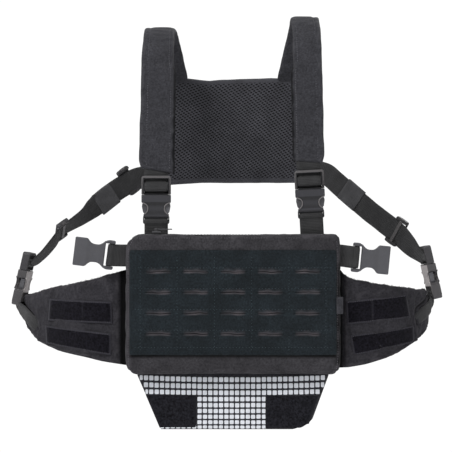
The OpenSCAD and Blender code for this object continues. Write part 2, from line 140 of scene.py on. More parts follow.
def grid_normals(points, outward):
    """Normals on the outward side, and -1 where they run against the grid's own order."""
    n = unit(np.cross(np.gradient(points, axis=0), np.gradient(points, axis=1)))
    sign = 1 if (n * np.asarray(outward, float)).sum(-1).mean() >= 0 else -1
    return n * sign, sign


def slab(name, points, front, back, mat, outward=(0, -1, 0), attrs=None, drop=None):
    """A closed sheet round a grid of points, front mm thick on its outward side and back mm on the other.
    drop marks the cells that are cut away."""
    nu, nv = points.shape[:2]
    n, sign = grid_normals(points, outward)
    front = np.broadcast_to(front, (nu, nv))[..., None]
    back = np.broadcast_to(back, (nu, nv))[..., None]
    verts = np.concatenate([(points + n * front).reshape(-1, 3), (points - n * back).reshape(-1, 3)])
    u = run_length(points[:, nv // 2])
    v = run_length(points[nu // 2])
    uv = np.stack(np.meshgrid(u, v, indexing="ij"), -1).reshape(-1, 2)
    low = nu * nv
    keep = np.ones((nu - 1, nv - 1), bool) if drop is None else ~drop
    faces = []
    for i in range(nu - 1):
        for j in range(nv - 1):
            if not keep[i, j]:
                continue
            a, b, c, d = i * nv + j, (i + 1) * nv + j, (i + 1) * nv + j + 1, i * nv + j + 1
            quads = [(a, b, c, d), (low + d, low + c, low + b, low + a)]
            for p, q, ii, jj in ((a, b, i, j - 1), (b, c, i + 1, j), (c, d, i, j + 1), (d, a, i - 1, j)):
                if not (0 <= ii < nu - 1 and 0 <= jj < nv - 1 and keep[ii, jj]):
                    quads.append((q, p, low + p, low + q))
            faces += quads if sign > 0 else [f[::-1] for f in quads]
    if attrs:
        attrs = {k: np.concatenate([np.ravel(a), np.ravel(a)]) for k, a in attrs.items()}
    return build(name, verts, faces, mat, np.concatenate([uv, uv]), attrs=attrs)


def spline(points, n):
    """n points along a smooth curve through the given ones, evenly spaced."""
    p = np.asarray(points, float)
    p = np.vstack([2 * p[0] - p[1], p, 2 * p[-1] - p[-2]])
    out = []
    for i in range(1, len(p) - 2):
        t = np.linspace(0, 1, 24, endpoint=i == len(p) - 3)[:, None]
        a, b, c, d = p[i - 1:i + 3]
        out.append(0.5 * (2 * b + (c - a) * t + (2 * a - 5 * b + 4 * c - d) * t ** 2
                          + (3 * b - a - 3 * c + d) * t ** 3))
    out = np.vstack(out)
    s = run_length(out[:, :3])
    at = np.linspace(0, s[-1], n)
    return sample(at, s, out)


def strap(name, points, across, width, thick, mat, n=60, ripple=0.0, seed=0, m=11):
    """Flat webbing swept along points. across gives its width direction at each of them."""
    both = spline(np.hstack([np.asarray(points, float), unit(across)]), n)
    path, w = both[:, :3], both[:, 3:]
    t = unit(np.gradient(path, axis=0))
    w = unit(w - t * (w * t).sum(-1, keepdims=True))
    up = np.cross(t, w)
    x = np.linspace(-1, 1, m)
    shape = (0.25 + 0.75 * np.sqrt(1 - np.abs(x) ** 7)) * thick / 2
    s = run_length(path)
    grid = path[:, None] + w[:, None] * (x * width / 2)[None, :, None]
    if ripple:
        bow = ripple * fbm(grid, 26, seed)
        grid = grid + w[:, None] * (0.5 * ripple * fbm(path, 30, seed + 3))[:, None, None]
        grid = grid + up[:, None] * bow[..., None]
    off = up[:, None] * shape[None, :, None]
    ring = np.concatenate([grid + off, (grid - off)[:, ::-1]], 1)
    k = 2 * m
    faces = [(i * k + j, i * k + (j + 1) % k, (i + 1) * k + (j + 1) % k, (i + 1) * k + j)
             for i in range(n - 1) for j in range(k)]
    faces += [tuple(range(k))[::-1], tuple((n - 1) * k + j for j in range(k))]
    ux = np.concatenate([x, x[::-1]]) * width / 2
    uv = np.stack(np.broadcast_arrays(ux, s[:, None]), -1).reshape(-1, 2)
    o = build(name, ring.reshape(-1, 3), faces, mat, uv)
    fix_normals(o)
    return o


def fix_normals(o):
    bm = bmesh.new()
    bm.from_mesh(o.data)
    bmesh.ops.recalc_face_normals(bm, faces=bm.faces)
    bm.to_mesh(o.data)
    bm.free()


def stitches(name, points, normal, mat, pitch, long, r):
    """A row of raised thread beads along points."""
    p = np.asarray(points, float)
    s = run_length(p)
    count = max(2, int(s[-1] / pitch))
    at = (np.arange(count) + 0.5) * s[-1] / count
    c = sample(at, s, p)
    t = unit(sample(at + 0.5, s, p) - sample(at - 0.5, s, p))
    n = np.asarray(normal, float)
    n = np.broadcast_to(n, (count, 3)) if n.ndim == 1 else sample(at, s, n)
    side = unit(np.cross(t, n))
    n = np.cross(side, t)
    verts, faces = [], []
    for i in range(count):
        a = len(verts)
        verts += [c[i] - t[i] * long / 2, c[i] + t[i] * long / 2, c[i] + side[i] * r, c[i] + n[i] * r,
                  c[i] - side[i] * r, c[i] - n[i] * r]
        for j in range(4):
            q, w = a + 2 + j, a + 2 + (j + 1) % 4
            faces += [(a, q, w), (a + 1, w, q)]
    return build(name, verts, faces, mat)


def soft_loop(corners, r=1.0, n=5):
    """A closed outline with its corners rounded. A corner is x, y or x, y, radius."""
    pts = []
    k = len(corners)
    for i in range(k):
        c = np.array(corners[i][:2], float)
        rad = corners[i][2] if len(corners[i]) > 2 else r
        a = np.array(corners[i - 1][:2], float) - c
        b = np.array(corners[(i + 1) % k][:2], float) - c
        la, lb = np.linalg.norm(a), np.linalg.norm(b)
        cut = min(rad, la * 0.48, lb * 0.48)
        if cut < 0.02:
            pts.append(c)
            continue
        p, q = c + a / la * cut, c + b / lb * cut
        for t in np.linspace(0, 1, n):
            pts.append((1 - t) ** 2 * p + 2 * t * (1 - t) * c + t * t * q)
    return pts


def mirrored(half):
    """Corners of an outline that is the same on both sides of x = 0, from those on one side."""
    return half + [(-x, *rest) for x, *rest in half[::-1]]


def rectangle(x, y, r, n=5):
    """Outline of a rectangle from its half sizes, with rounded corners."""
    return soft_loop([(-x, -y), (x, -y), (x, y), (-x, y)], r, n)


def plate(loops, half, bevel, z=0.0):
    """A flat plate with rounded edges as a mesh in metres, from outlines and holes in mm."""
    cu = bpy.data.curves.new("plate", "CURVE")
    cu.dimensions, cu.fill_mode = "2D", "BOTH"
    cu.bevel_depth, cu.offset, cu.bevel_resolution = bevel * MM, -bevel * MM, 2
    cu.extrude = max(half - bevel, 0.01) * MM
    for loop in loops:
        sp = cu.splines.new("POLY")
        sp.points.add(len(loop) - 1)
        for p, q in zip(sp.points, loop):
            p.co = (q[0] * MM, q[1] * MM, 0, 1)
        sp.use_cyclic_u = True
    o = bpy.data.objects.new("plate", cu)
    scene.collection.objects.link(o)
    bpy.context.view_layer.update()
    me = bpy.data.meshes.new_from_object(o.evaluated_get(bpy.context.evaluated_depsgraph_get()))
    bpy.data.objects.remove(o)
    me.transform(Matrix.Translation((0, 0, z * MM)))
    return me


def rod(r, length, y, z=0.0):
    """A round bar along x."""
    bm = bmesh.new()
    bmesh.ops.create_cone(bm, cap_ends=True, segments=20, radius1=r * MM, radius2=r * MM, depth=length * MM)
    me = bpy.data.meshes.new("rod")
    bm.to_mesh(me)
    bm.free()
    me.transform(Matrix.Rotation(math.pi / 2, 4, "Y"))
    me.transform(Matrix.Translation((0, y * MM, z * MM)))
    return me


def placed(o, u, v, w):
    """The matrix that lays local x, y and z along u, v and w, from the point o in mm."""
    return Matrix([(u[k], v[k], w[k], o[k] * MM) for k in range(3)] + [(0, 0, 0, 1)])


def plain(me, mat):
    """Smooth shading and a single material all over a mesh."""
    me.materials.clear()
    me.materials.append(mat)
    me.polygons.foreach_set("material_index", [0] * len(me.polygons))
    me.polygons.foreach_set("use_smooth", [True] * len(me.polygons))


def assemble(name, meshes, place, mat):
    """One object from the meshes of a hard part, moved to its place."""
    bm = bmesh.new()
    for me in meshes:
        bm.from_mesh(me)
    bm.transform(place)
    if place.determinant() < 0:
        bmesh.ops.reverse_faces(bm, faces=bm.faces)
    bmesh.ops.recalc_face_normals(bm, faces=bm.faces)
    out = bpy.data.meshes.new(name)
    bm.to_mesh(out)
    bm.free()
    plain(out, mat)
    o = bpy.data.objects.new(name, out)
    scene.collection.objects.link(o)
    out.set_sharp_from_angle(angle=math.radians(35))
    return o


def paint(o, place, rule):
    """Marks how much painted highlight each vertex takes, from its place in the piece's own frame, in metres.
    """
    inside = place.inverted()
    o.data.attributes.new("pale", "FLOAT", "POINT").data.foreach_set(
        "value", [rule(inside @ v.co) for v in o.data.vertices])


def places(me):
    """Each vertex of a mesh, in metres."""
    co = np.zeros(len(me.vertices) * 3, np.float32)
    me.vertices.foreach_get("co", co)
    return co.reshape(-1, 3)


def inflate(o, pin, pressure, cap, shrink):
    """Cloth simulation: the cover is blown up against its pinned seams, and the result kept in the mesh.
    No point moves further than cap, in mm."""
    frames = 20
    before = places(o.data)
    group = o.vertex_groups.new(name="pin")
    for i, w in enumerate(np.ravel(pin)):
        if w > 0:
            group.add([i], float(min(w, 1)), "REPLACE")
    m = o.modifiers.new("inflate", "CLOTH")
    s = m.settings
    s.quality, s.mass, s.air_damping = 5, 0.15, 2.0
    s.tension_stiffness = s.compression_stiffness = 20
    s.shear_stiffness, s.bending_stiffness = 8, 0.6
    s.use_pressure, s.uniform_pressure_force = True, pressure
    s.effector_weights.gravity = 0
    s.shrink_min = shrink
    s.vertex_group_mass = "pin"
    m.point_cache.frame_start, m.point_cache.frame_end = 1, frames
    for f in range(1, frames + 1):
        scene.frame_set(f)
    after = places(o.evaluated_get(bpy.context.evaluated_depsgraph_get()).data)
    o.modifiers.remove(m)
    scene.frame_set(1)
    move = np.nan_to_num(after - before)
    size = np.linalg.norm(move, axis=1, keepdims=True)
    move *= np.minimum(1, cap * MM / np.maximum(size, 1e-9))
    o.data.vertices.foreach_set("co", (before + move).ravel())
    o.vertex_groups.clear()
    o.data.update()


def rounder(o):
    """One level of subdivision, which rounds a soft piece off."""
    m = o.modifiers.new("round", "SUBSURF")
    m.levels = m.render_levels = 1


# ---------------------------------------------------------------- materials
M = {}


def lin(rgb):
    """Linear colour from screen values of 0 to 255."""
    return tuple((c / 255 / 12.92) if c / 255 <= 0.04045 else ((c / 255 + 0.055) / 1.055) ** 2.4 for c in rgb)


def times(colour, k):
    return tuple(min(1, c * k) for c in colour)


class Nodes:
    """A material's node tree, with short calls for what the vest uses. It goes into M under its name."""

    def __init__(self, name, rough, spec=0.5, sheen=0.0, sheen_rough=0.4):
        self.mat = bpy.data.materials.new(name)
        M[name] = self.mat
        self.mat.use_nodes = True
        self.t = self.mat.node_tree
        self.bsdf = self.t.nodes["Principled BSDF"]
        for socket, value in (("Roughness", rough), ("Specular IOR Level", spec), ("Sheen Weight", sheen),
                              ("Sheen Roughness", sheen_rough), ("Sheen Tint", (1, 1, 1, 1))):
            self.bsdf.inputs[socket].default_value = value
        self.uv = self.new("ShaderNodeUVMap").outputs[0]
        self.obj = self.new("ShaderNodeTexCoord").outputs["Object"]

    def new(self, kind, **props):
        n = self.t.nodes.new(kind)
        for k, v in props.items():
            setattr(n, k, v)
        return n

    def link(self, a, b):
        self.t.links.new(a, b)

    def put(self, socket, value):
        if hasattr(value, "is_output"):
            self.link(value, socket)
        else:
            socket.default_value = value

    def math(self, op, a, b):
        n = self.new("ShaderNodeMath", operation=op)
        self.put(n.inputs[0], a)
        self.put(n.inputs[1], b)
        return n.outputs[0]

    def noise(self, size, detail=3.0, rough=0.55):
        """Noise whose features are size metres across."""
        n = self.new("ShaderNodeTexNoise")
        n.inputs["Scale"].default_value = 1 / size
        n.inputs["Detail"].default_value = detail
        n.inputs["Roughness"].default_value = rough
        self.link(self.obj, n.inputs["Vector"])
        return n.outputs[0]

    def bands(self, pitch, direction, where=None, distort=0.0):
        """Parallel ridges, pitch metres apart."""
        n = self.new("ShaderNodeTexWave", wave_type="BANDS", bands_direction=direction)
        n.inputs["Scale"].default_value = 0.31416 / pitch
        n.inputs["Distortion"].default_value = distort
        n.inputs["Detail"].default_value = 1.0
        self.link(where or self.uv, n.inputs["Vector"])
        return n.outputs["Fac"]

    def span(self, x, a, b, lo=0.0, hi=1.0):
        """lo where x is a, hi where x is b."""
        n = self.new("ShaderNodeMapRange")
        n.clamp = True
        for i, v in ((0, x), (1, a), (2, b), (3, lo), (4, hi)):
            self.put(n.inputs[i], v)
        return n.outputs[0]

    def mix(self, f, a, b):
        n = self.new("ShaderNodeMix", data_type="RGBA")
        self.put(n.inputs[0], f)
        for i, c in ((6, a), (7, b)):
            self.put(n.inputs[i], c if hasattr(c, "is_output") else (*c, 1))
        return n.outputs[2]

    def uneven(self, base, size, detail, low, high):
        """A colour that wanders between low and high times base."""
        return self.mix(self.span(self.noise(size, detail), 0.3, 0.7), times(base, low), times(base, high))

    def ridges(self, a, b):
        """1 on sharp outer edges, 0 on flat faces."""
        return self.span(self.new("ShaderNodeNewGeometry").outputs["Pointiness"], a, b)

    def attr(self, name):
        return self.new("ShaderNodeAttribute", attribute_name=name).outputs["Fac"]

    def bump(self, height, distance, strength):
        """Adds a bump of the given depth in metres over the ones before it."""
        n = self.new("ShaderNodeBump")
        n.inputs["Distance"].default_value = distance
        n.inputs["Strength"].default_value = strength
        self.link(height, n.inputs["Height"])
        if self.bsdf.inputs["Normal"].is_linked:
            self.link(self.bsdf.inputs["Normal"].links[0].from_socket, n.inputs["Normal"])
        self.link(n.outputs[0], self.bsdf.inputs["Normal"])

    def colour(self, c):
        self.link(c, self.bsdf.inputs["Base Color"])


def cloth(name, rgb, weave=0.0011, mottle=0.16, depth=0.00012, sheen=0.05, rough=0.88, worn=None, edge=None,
          grain=0.5):
    """Woven cloth: threads both ways, uneven dye, faint creases. worn is the colour of its rubbed ridges,
    edge its colour where the attribute edge is 1: painted shade on the pouch, wings and pads, and on the
    laminate paler slot lips, partly cut edge and partly painted highlight."""
    m = Nodes(name, rough, 0.16, sheen)
    base = lin(rgb)
    blotch = m.span(m.noise(0.02, 4), 0.32, 0.68)
    fine = m.span(m.noise(0.0021, 3, 0.75), 0.34, 0.66)
    c = m.mix(blotch, times(base, 1 - 1.6 * mottle), times(base, 1 + 1.6 * mottle))
    speck = m.mix(fine, (1 - grain,) * 3, (1 + 1.1 * grain,) * 3)
    both = m.new("ShaderNodeMix", data_type="RGBA", blend_type="MULTIPLY")
    both.inputs[0].default_value = 1.0
    m.link(c, both.inputs[6])
    m.link(speck, both.inputs[7])
    c = both.outputs[2]
    warp, weft = m.bands(weave, "X"), m.bands(weave, "Y")
    threads = m.math("MAXIMUM", warp, weft)
    c = m.mix(m.span(threads, 0.55, 1.0, 0.0, 0.35), c, times(base, 1.9))
    if edge is not None:
        c = m.mix(m.attr("edge"), c, lin(edge))
    if worn is not None:
        paler_ridges = m.math("MULTIPLY", m.ridges(0.505, 0.53), m.span(m.noise(0.01), 0.4, 0.65, 0.1, 0.7))
        c = m.mix(paler_ridges, c, lin(worn))
    m.colour(c)
    m.bump(m.noise(0.016, 4, 0.6), 0.0016, 0.7)
    m.bump(threads, depth, 0.9)


def tape(name, rgb, rib=0.0016, depth=0.0003):
    """Woven tape: ribs across it, fine threads along it, and uneven dye."""
    m = Nodes(name, 0.8, 0.25, 0.1)
    base = lin(rgb)
    ribs = m.bands(rib, "Y", distort=0.4)
    warp = m.bands(0.0012, "X")
    m.colour(m.mix(m.span(ribs, 0.45, 1.0, 0.0, 0.45), m.uneven(base, 0.012, 4, 0.72, 1.3), times(base, 1.8)))
    m.bump(m.math("ADD", ribs, m.math("MULTIPLY", warp, 0.5)), depth, 0.9)


def plastic(name, rgb, rough=0.42, spec=0.5):
    """Moulded plastic, semi-matt, with its sharp edges paler, partly rubbed wear and partly painted
    highlight, and a painted highlight and painted reflection where the attribute pale is 1.
    """
    m = Nodes(name, rough, spec)
    base = lin(rgb)
    # Paler sharp edges: partly rubbed wear, partly painted highlight on the rims
    paler_ridges = m.math("MULTIPLY", m.ridges(0.51, 0.58), 0.6)
    c = m.mix(paler_ridges, m.uneven(base, 0.006, 3, 0.85, 1.15), times(base, 5))
    # Painted highlight and painted reflection where the attribute pale is 1
    m.colour(m.mix(m.attr("pale"), c, lin((168, 163, 163))))
    m.link(m.span(m.noise(0.004, 3), 0.25, 0.75, rough - 0.08, rough + 0.12), m.bsdf.inputs["Roughness"])
    m.bump(m.noise(0.0007, 2), 0.00003, 0.6)


def pile(name, rgb, rim):
    """Hook or loop tape: a fuzzy pile in a woven rim."""
    m = Nodes(name, 0.95, 0.06, 0.06, 0.5)
    base = lin(rgb)
    tuft = m.noise(0.0022, 4, 0.75)
    c = m.mix(m.span(tuft, 0.38, 0.64), times(base, 0.3), times(base, 2.3))
    c = m.mix(m.span(m.noise(0.014, 3), 0.35, 0.75, 0.0, 0.35), c, times(base, 2.0))
    m.colour(m.mix(m.attr("edge"), c, lin(rim)))
    m.bump(tuft, 0.0007, 0.8)


def mesh_cloth(name, rgb, hole):
    """Knitted spacer mesh: slanting rows of open cells, their depth coloured dark as painted shade, where the
    attribute mesh is 1.
    """
    m = Nodes(name, 0.85, 0.25, 0.15)
    c = m.uneven(lin(rgb), 0.02, 3, 0.8, 1.25)
    cells = []
    for angle, pitch in ((25, 0.0027), (-44, 0.0034)):
        turned = m.new("ShaderNodeMapping")
        turned.inputs["Rotation"].default_value = (0, 0, math.radians(angle))
        m.link(m.uv, turned.inputs["Vector"])
        cells.append(m.bands(pitch, "Y", turned.outputs[0]))
    # Painted shade in the cells: they are coloured dark, not cut open
    holes = m.math("MULTIPLY", m.span(m.math("MULTIPLY", *cells), 0.2, 0.42), m.attr("mesh"))
    m.colour(m.mix(holes, c, lin(hole)))
    m.bump(m.math("SUBTRACT", 1.0, holes), 0.0006, 0.8)


# Edge colours: painted shade on pouch_cloth, wing_cloth and pad_cloth; on the laminate, slot lips partly cut
# edge and partly painted highlight
cloth("pouch_cloth", (49, 48, 51), worn=(74, 72, 76), edge=(5, 5, 6))
cloth("laminate", (23, 29, 33), weave=0.0009, rough=0.75, edge=(98, 92, 96), mottle=0.2, grain=0.65)
cloth("wing_cloth", (43, 42, 46), sheen=0.03, worn=(66, 64, 68), edge=(5, 5, 6))
cloth("lining", (44, 44, 48))
cloth("pad_cloth", (49, 49, 53), weave=0.0008, mottle=0.1, worn=(72, 72, 76), edge=(18, 18, 21))
cloth("tile", (214, 218, 226), weave=0.0006, mottle=0.05, sheen=0.0, rough=0.7, depth=0.00004, grain=0.05)
cloth("tag_cloth", (54, 54, 58), weave=0.0007)
# The near-black cell colour is painted shade
mesh_cloth("mesh", (63, 63, 68), (8, 8, 11))
tape("webbing", (49, 49, 50))
tape("elastic", (66, 66, 68), 0.0011, 0.0002)
pile("loop", (17, 16, 21), (58, 57, 63))
pile("hook", (25, 25, 29), (34, 34, 38))
plastic("buckle_plastic", (27, 27, 30), 0.45, 0.34)
# A paler copy of the buckle plastic for the open sockets: painted light, as the same plastic lit more
plastic("buckle_plastic_lit", (55, 55, 59))
plastic("prong_plastic", (44, 44, 47), 0.38)
plastic("zip_metal", (34, 34, 36), 0.4)
plastic("thread", (62, 61, 65), 0.7, 0.2)
plastic("panel_thread", (50, 60, 64), 0.8, 0.1)


def show(o, body=None, replaces=()):
    """Parents a piece to the body it rides on, when one is given, and hides the CAD nodes it stands for."""
    if body:
        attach(o, body)
    if replaces:
        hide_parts(*replaces)
    return o


def sew(name, points, normal, thread, sizes, body="harness"):
    """A row of stitches on a body. sizes are its pitch, stitch length and thread radius in mm."""
    show(stitches(name, points, normal, M[thread], *sizes), body)


def sided(s, p):
    """Points drawn for the wearer's right side (s = -1), moved over to the left one for s = 1."""
    p = np.array(p, float)
    if s > 0:
        p[..., 0] *= -1
    return p


# ---------------------------------------------------------------- pouch
# Heights are z, FRONT and BACK are y, and widths are across x, all in mm
POUCH_W, POUCH_TOP, POUCH_LOW, FRONT, BACK = 224, -222, -370, -105, -75
PANEL_TOP, PANEL_LOW, PANEL_W = -239, -349, 217
TOWARDS_FRONT = (0, -1, 0)


def rounded_box(lo, hi, steps, r):
    """Vertices and quads of a box with rounded edges, from a subdivided cube."""
    lo, hi = np.array(lo, float), np.array(hi, float)
    index, verts, faces = {}, [], []

    def vertex(key):
        if key not in index:
            index[key] = len(verts)
            verts.append(lo + (hi - lo) * np.array(key) / steps)
        return index[key]

    for axis in range(3):
        a, b = [k for k in range(3) if k != axis]
        for end in (0, steps[axis]):
            for i in range(steps[a]):
                for j in range(steps[b]):
                    quad = []
                    for di, dj in ((0, 0), (1, 0), (1, 1), (0, 1)):
                        key = [0, 0, 0]
                        key[axis], key[a], key[b] = end, i + di, j + dj
                        quad.append(vertex(tuple(key)))
                    faces.append(quad)
    v = np.array(verts)
    q = np.clip(v, lo + r, hi - r)
    return q + unit(v - q) * r, faces


def pouch():
    v, faces = rounded_box([-POUCH_W / 2, FRONT, POUCH_LOW], [POUCH_W / 2, BACK, POUCH_TOP], (64, 9, 44), 4.5)
    for sx, sz, r in ((-1, 1, 17), (1, 1, 5), (-1, -1, 13), (1, -1, 10)):
        cx = sx * (POUCH_W / 2 - r)
        cz = (POUCH_TOP - r) if sz > 0 else (POUCH_LOW + r)
        dx, dz = (v[:, 0] - cx) * sx, (v[:, 2] - cz) * sz
        at = (dx > 0) & (dz > 0)
        f = np.maximum(dx, dz) / np.maximum(np.hypot(dx, dz), 1e-6)
        v[:, 0] = np.where(at, cx + (v[:, 0] - cx) * f, v[:, 0])
        v[:, 2] = np.where(at, cz + (v[:, 2] - cz) * f, v[:, 2])
    ahead = ramp(v[:, 1], BACK, FRONT)
    band = ramp(v[:, 2], PANEL_TOP - 3, PANEL_TOP + 6)
    sags = 2.0 * fbm(v * [1, 1, 0.35] + v[:, 2:] * [0.5, 0, 0], 17, 1)
    v[:, 1] += ahead * band * (sags + 1.3 * fbm(v * [1, 1, 0.5], 8, 4))
    v[:, 2] += 0.7 * fbm(v, 30, 2) * band
    v[:, 0] += 0.5 * fbm(v, 22, 5) * ramp(np.abs(v[:, 0]), 100, 112)
    v[:, 2] -= 1.3 * np.exp(-((v[:, 0] + 8) / 70) ** 2) * ramp(v[:, 2], -232, POUCH_TOP)
    v[:, 1] += ahead * 2.6 * ramp(-v[:, 2], -PANEL_LOW, -POUCH_LOW) ** 2
    # Room for the zip along the top, and for the flap where it folds up under the pouch
    channel = np.exp(-((v[:, 1] - FRONT - 12) / 5) ** 2) * ramp(v[:, 2], POUCH_TOP - 10, POUCH_TOP)
    tuck = ramp(-v[:, 2], -POUCH_LOW - 4, -POUCH_LOW) * ramp(v[:, 1], FRONT + 8, FRONT + 14)
    tuck = tuck * (1 - ramp(v[:, 1], FLAP_Y - 4, FLAP_Y - 1.5))
    v[:, 2] += 2.0 * tuck - 1.8 * channel
    under = (np.abs(v[:, 0]) < PANEL_W / 2 - 3) & (v[:, 2] < PANEL_TOP - 3) & (v[:, 2] > PANEL_LOW + 3)
    rim = np.abs(v[:, 1] - FRONT) < 1.4
    ends = np.minimum(np.abs(v[:, 2] - POUCH_TOP), np.abs(v[:, 2] - POUCH_LOW))
    seam = np.minimum(np.abs(np.abs(v[:, 0]) - POUCH_W / 2), ends) < 2
    pin = np.maximum(under, 0.7 * (rim & seam)) + (v[:, 1] > BACK - 2)
    pin = np.maximum(pin, (tuck > 0.1) | (channel > 0.2))
    uv = np.stack([v[:, 0] + v[:, 1], v[:, 2] + v[:, 1]], -1)
    # Shade beside the panel on the left, and just under it
    shade_beside = ramp(v[:, 0], 107.5, 109) * ramp(-v[:, 2], 246, 256)
    shade_strip = PANEL_LOW - v[:, 2]
    shade_strip = ramp(shade_strip, -1, 0.5) * (1 - ramp(shade_strip, 1.5, 4)) * (v[:, 1] < FRONT + 3)
    o = build("pouch", v, faces, M["pouch_cloth"], uv, attrs={"edge": np.maximum(shade_beside, shade_strip)})
    fix_normals(o)
    inflate(o, pin, 3.5, 1.3, -0.01)
    rounder(o)
    show(o, "harness", ["pouch_shell", "pouch_back_panel"])
    edge = [(-104, -369), (-112, -358), (-112, -300), (-112.3, -245), (-108, -230), (-97, -223), (0, -222.4),
            (100, -222.4), (110, -227), (111.8, -245), (112, -300), (112, -358), (104, -369)]
    line = spline([(x, 0, z) for x, z in edge], 260) * [0.975, 1, 1] + [0, FRONT + 0.4, 0]
    line[:, 2] = np.minimum(line[:, 2], POUCH_TOP - 4.5)
    sew("pouch_stitches", line, TOWARDS_FRONT, "thread", (2.6, 1.8, 0.25))


SLOT, SLOT_PITCH = 27, 39
SLOT_STARTS = [c * SLOT_PITCH - SLOT / 2 for c in range(-2, 3)]
SLOT_ROWS = [-262 - 21.7 * k for k in range(4)]
LIP, NEAR_LIP = 1.1, 2.4


def slot_panel():
    """The laminate sheet. Each slot's cells are cut out of its grid, and the lips drawn nearly shut again."""
    xs, zs = [-PANEL_W / 2], [PANEL_TOP]
    for x0 in SLOT_STARTS:
        xs += [*np.linspace(xs[-1], x0, 5)[1:], *np.linspace(x0, x0 + SLOT, 13)[1:]]
    xs += [*np.linspace(xs[-1], PANEL_W / 2, 5)[1:]]
    for z in SLOT_ROWS:
        zs += [*np.linspace(zs[-1], z + 4.5, 5)[1:], z + NEAR_LIP, z + LIP, z - LIP, z - NEAR_LIP, z - 4.5]
    zs += [*np.linspace(zs[-1], PANEL_LOW, 7)[1:]]
    xs, zs = np.array(xs), np.array(zs)
    p = surface(xs[:, None], FRONT - 1.2, zs[None])
    rim = np.minimum(PANEL_TOP - p[..., 2], p[..., 2] - PANEL_LOW)
    rim = np.minimum(PANEL_W / 2 - np.abs(p[..., 0]), rim)
    p[..., 1] -= (0.5 + 0.5 * fbm(p, 34, 3) + 0.25 * fbm(p, 12, 8)) * ramp(rim, 0, 8)
    lit = np.zeros(p.shape[:2])
    drop = np.zeros((len(xs) - 1, len(zs) - 1), bool)
    rnd = random.Random(11)
    for x0 in SLOT_STARTS:
        inside = (xs >= x0 - 0.01) & (xs <= x0 + SLOT + 0.01)
        t = np.clip((xs - x0) / SLOT, 0, 1)
        parted = np.sin(np.pi * t) ** 0.55 * inside
        for z in SLOT_ROWS:
            drop[np.ix_(inside[:-1] & inside[1:], (zs[:-1] < z + 1.2) & (zs[1:] > z - 1.2))] = True
            a, b, c = rnd.uniform(0.6, 1.2), rnd.uniform(0, 6.28), rnd.uniform(0.2, 0.6)
            wave = 0.55 * np.sin(2 * np.pi * t * a + b) + 0.22 * np.sin(2 * np.pi * t * 3.1 * a + 2 * b)
            curl = 0.6 + c + 0.5 * np.sin(2 * np.pi * t * 1.3 + b)
            gape, skew = rnd.uniform(0, 1) ** 2 * 0.3, rnd.uniform(-0.6, 0.6)
            shine = parted * np.clip(0.8 + skew * (2 * t - 1), 0, 1)
            for j in np.flatnonzero(np.abs(zs - z) <= 5):
                d = zs[j] - z
                if abs(abs(d) - LIP) < 0.01:
                    lip = z + np.sign(d) * (0.04 + gape * parted) + wave * parted
                    p[:, j, 2] = np.where(inside, lip, p[:, j, 2])
                    lit[:, j] = np.maximum(lit[:, j], shine * (0.75 + 0.25 * np.sin(9 * t + b)))
                if abs(abs(d) - NEAR_LIP) < 0.01:
                    p[:, j, 2] += wave * parted * 0.6
                    if d > 0:
                        lit[:, j] = np.maximum(lit[:, j], 0.3 * shine * (0.6 + 0.4 * np.sin(14 * t + 3 * b)))
                near = 1 - ramp(abs(d), 1.0, 4.6)
                p[:, j, 1] -= near * parted * (curl if d < 0 else -0.35 * curl + 0.3)
    p[..., 2] += 0.35 * fbm(p, 40, 6) * (1 - ramp(rim, 0, 6))
    o = slab("slot_panel_cloth", p, 0.6, 0.6, M["laminate"], attrs={"edge": lit}, drop=drop)
    rounder(o)
    show(o, "harness", ["slot_panel"])
    # Stitches round the panel's edge, then between its slots
    rim_lines = [((-104, z), (104, z)) for z in (PANEL_TOP - 4, PANEL_LOW + 4)]
    rim_lines += [((x, PANEL_TOP - 5), (x, PANEL_LOW + 5)) for x in (-105, 105)]
    lines = [((x, PANEL_TOP - 6), (x, PANEL_LOW + 4)) for x in (-97, -58.5, -19.5, 19.5, 58.5, 97)]
    lines += [((-104, z), (104, z)) for z in [row + 4.3 for row in SLOT_ROWS] + [-341]]
    for k, ((x0, z0), (x1, z1)) in enumerate(rim_lines + lines):
        y, thread, sizes = (FRONT - 2.4, "laminate", (2.6, 1.7, 0.2))
        if k >= len(rim_lines):
            y, thread, sizes = (FRONT - 2.5, "panel_thread", (3.4, 0.9, 0.22))
        line = np.linspace([x0, y, z0], [x1, y, z1], 60)
        sew(f"panel_stitches_{k}", line, TOWARDS_FRONT, thread, sizes)


def zip_parts():
    y, z = FRONT + 12, POUCH_TOP
    for s, n, nodes in ((-1, "front", ["zip_tape"]), (1, "rear", [])):
        p = surface(np.linspace(-100, 100, 70)[:, None], y + s * np.linspace(1.0, 6.0, 6)[None], 0)
        p[..., 2] = z - 1.6 + 0.25 * fbm(p, 15, 9 + s)
        show(slab(f"zip_tape_{n}", p, 0.35, 0.35, M["webbing"], (0, 0, 1)), "harness", nodes)
    verts, faces = [], []
    for i in range(130):
        x = -99 + i * 198 / 129
        k = len(verts)
        side = 0.5 if i % 2 else -0.5
        for hx, hy, up in ((0.5, 1.1, 0), (0.35, 0.8, 0.9)):
            for a, b in ((-1, -1), (1, -1), (1, 1), (-1, 1)):
                verts.append([x + a * hx, y + side + b * hy, z - 1.4 + up])
        faces += [[k, k + 3, k + 2, k + 1], [k + 4, k + 5, k + 6, k + 7]]
        faces += [[k + a, k + b, k + b + 4, k + a + 4] for a, b in ((0, 1), (1, 2), (2, 3), (3, 0))]
    teeth = build("zip_teeth", verts, faces, M["prong_plastic"], smooth=False)
    show(teeth, "harness", ["zip_chain"])


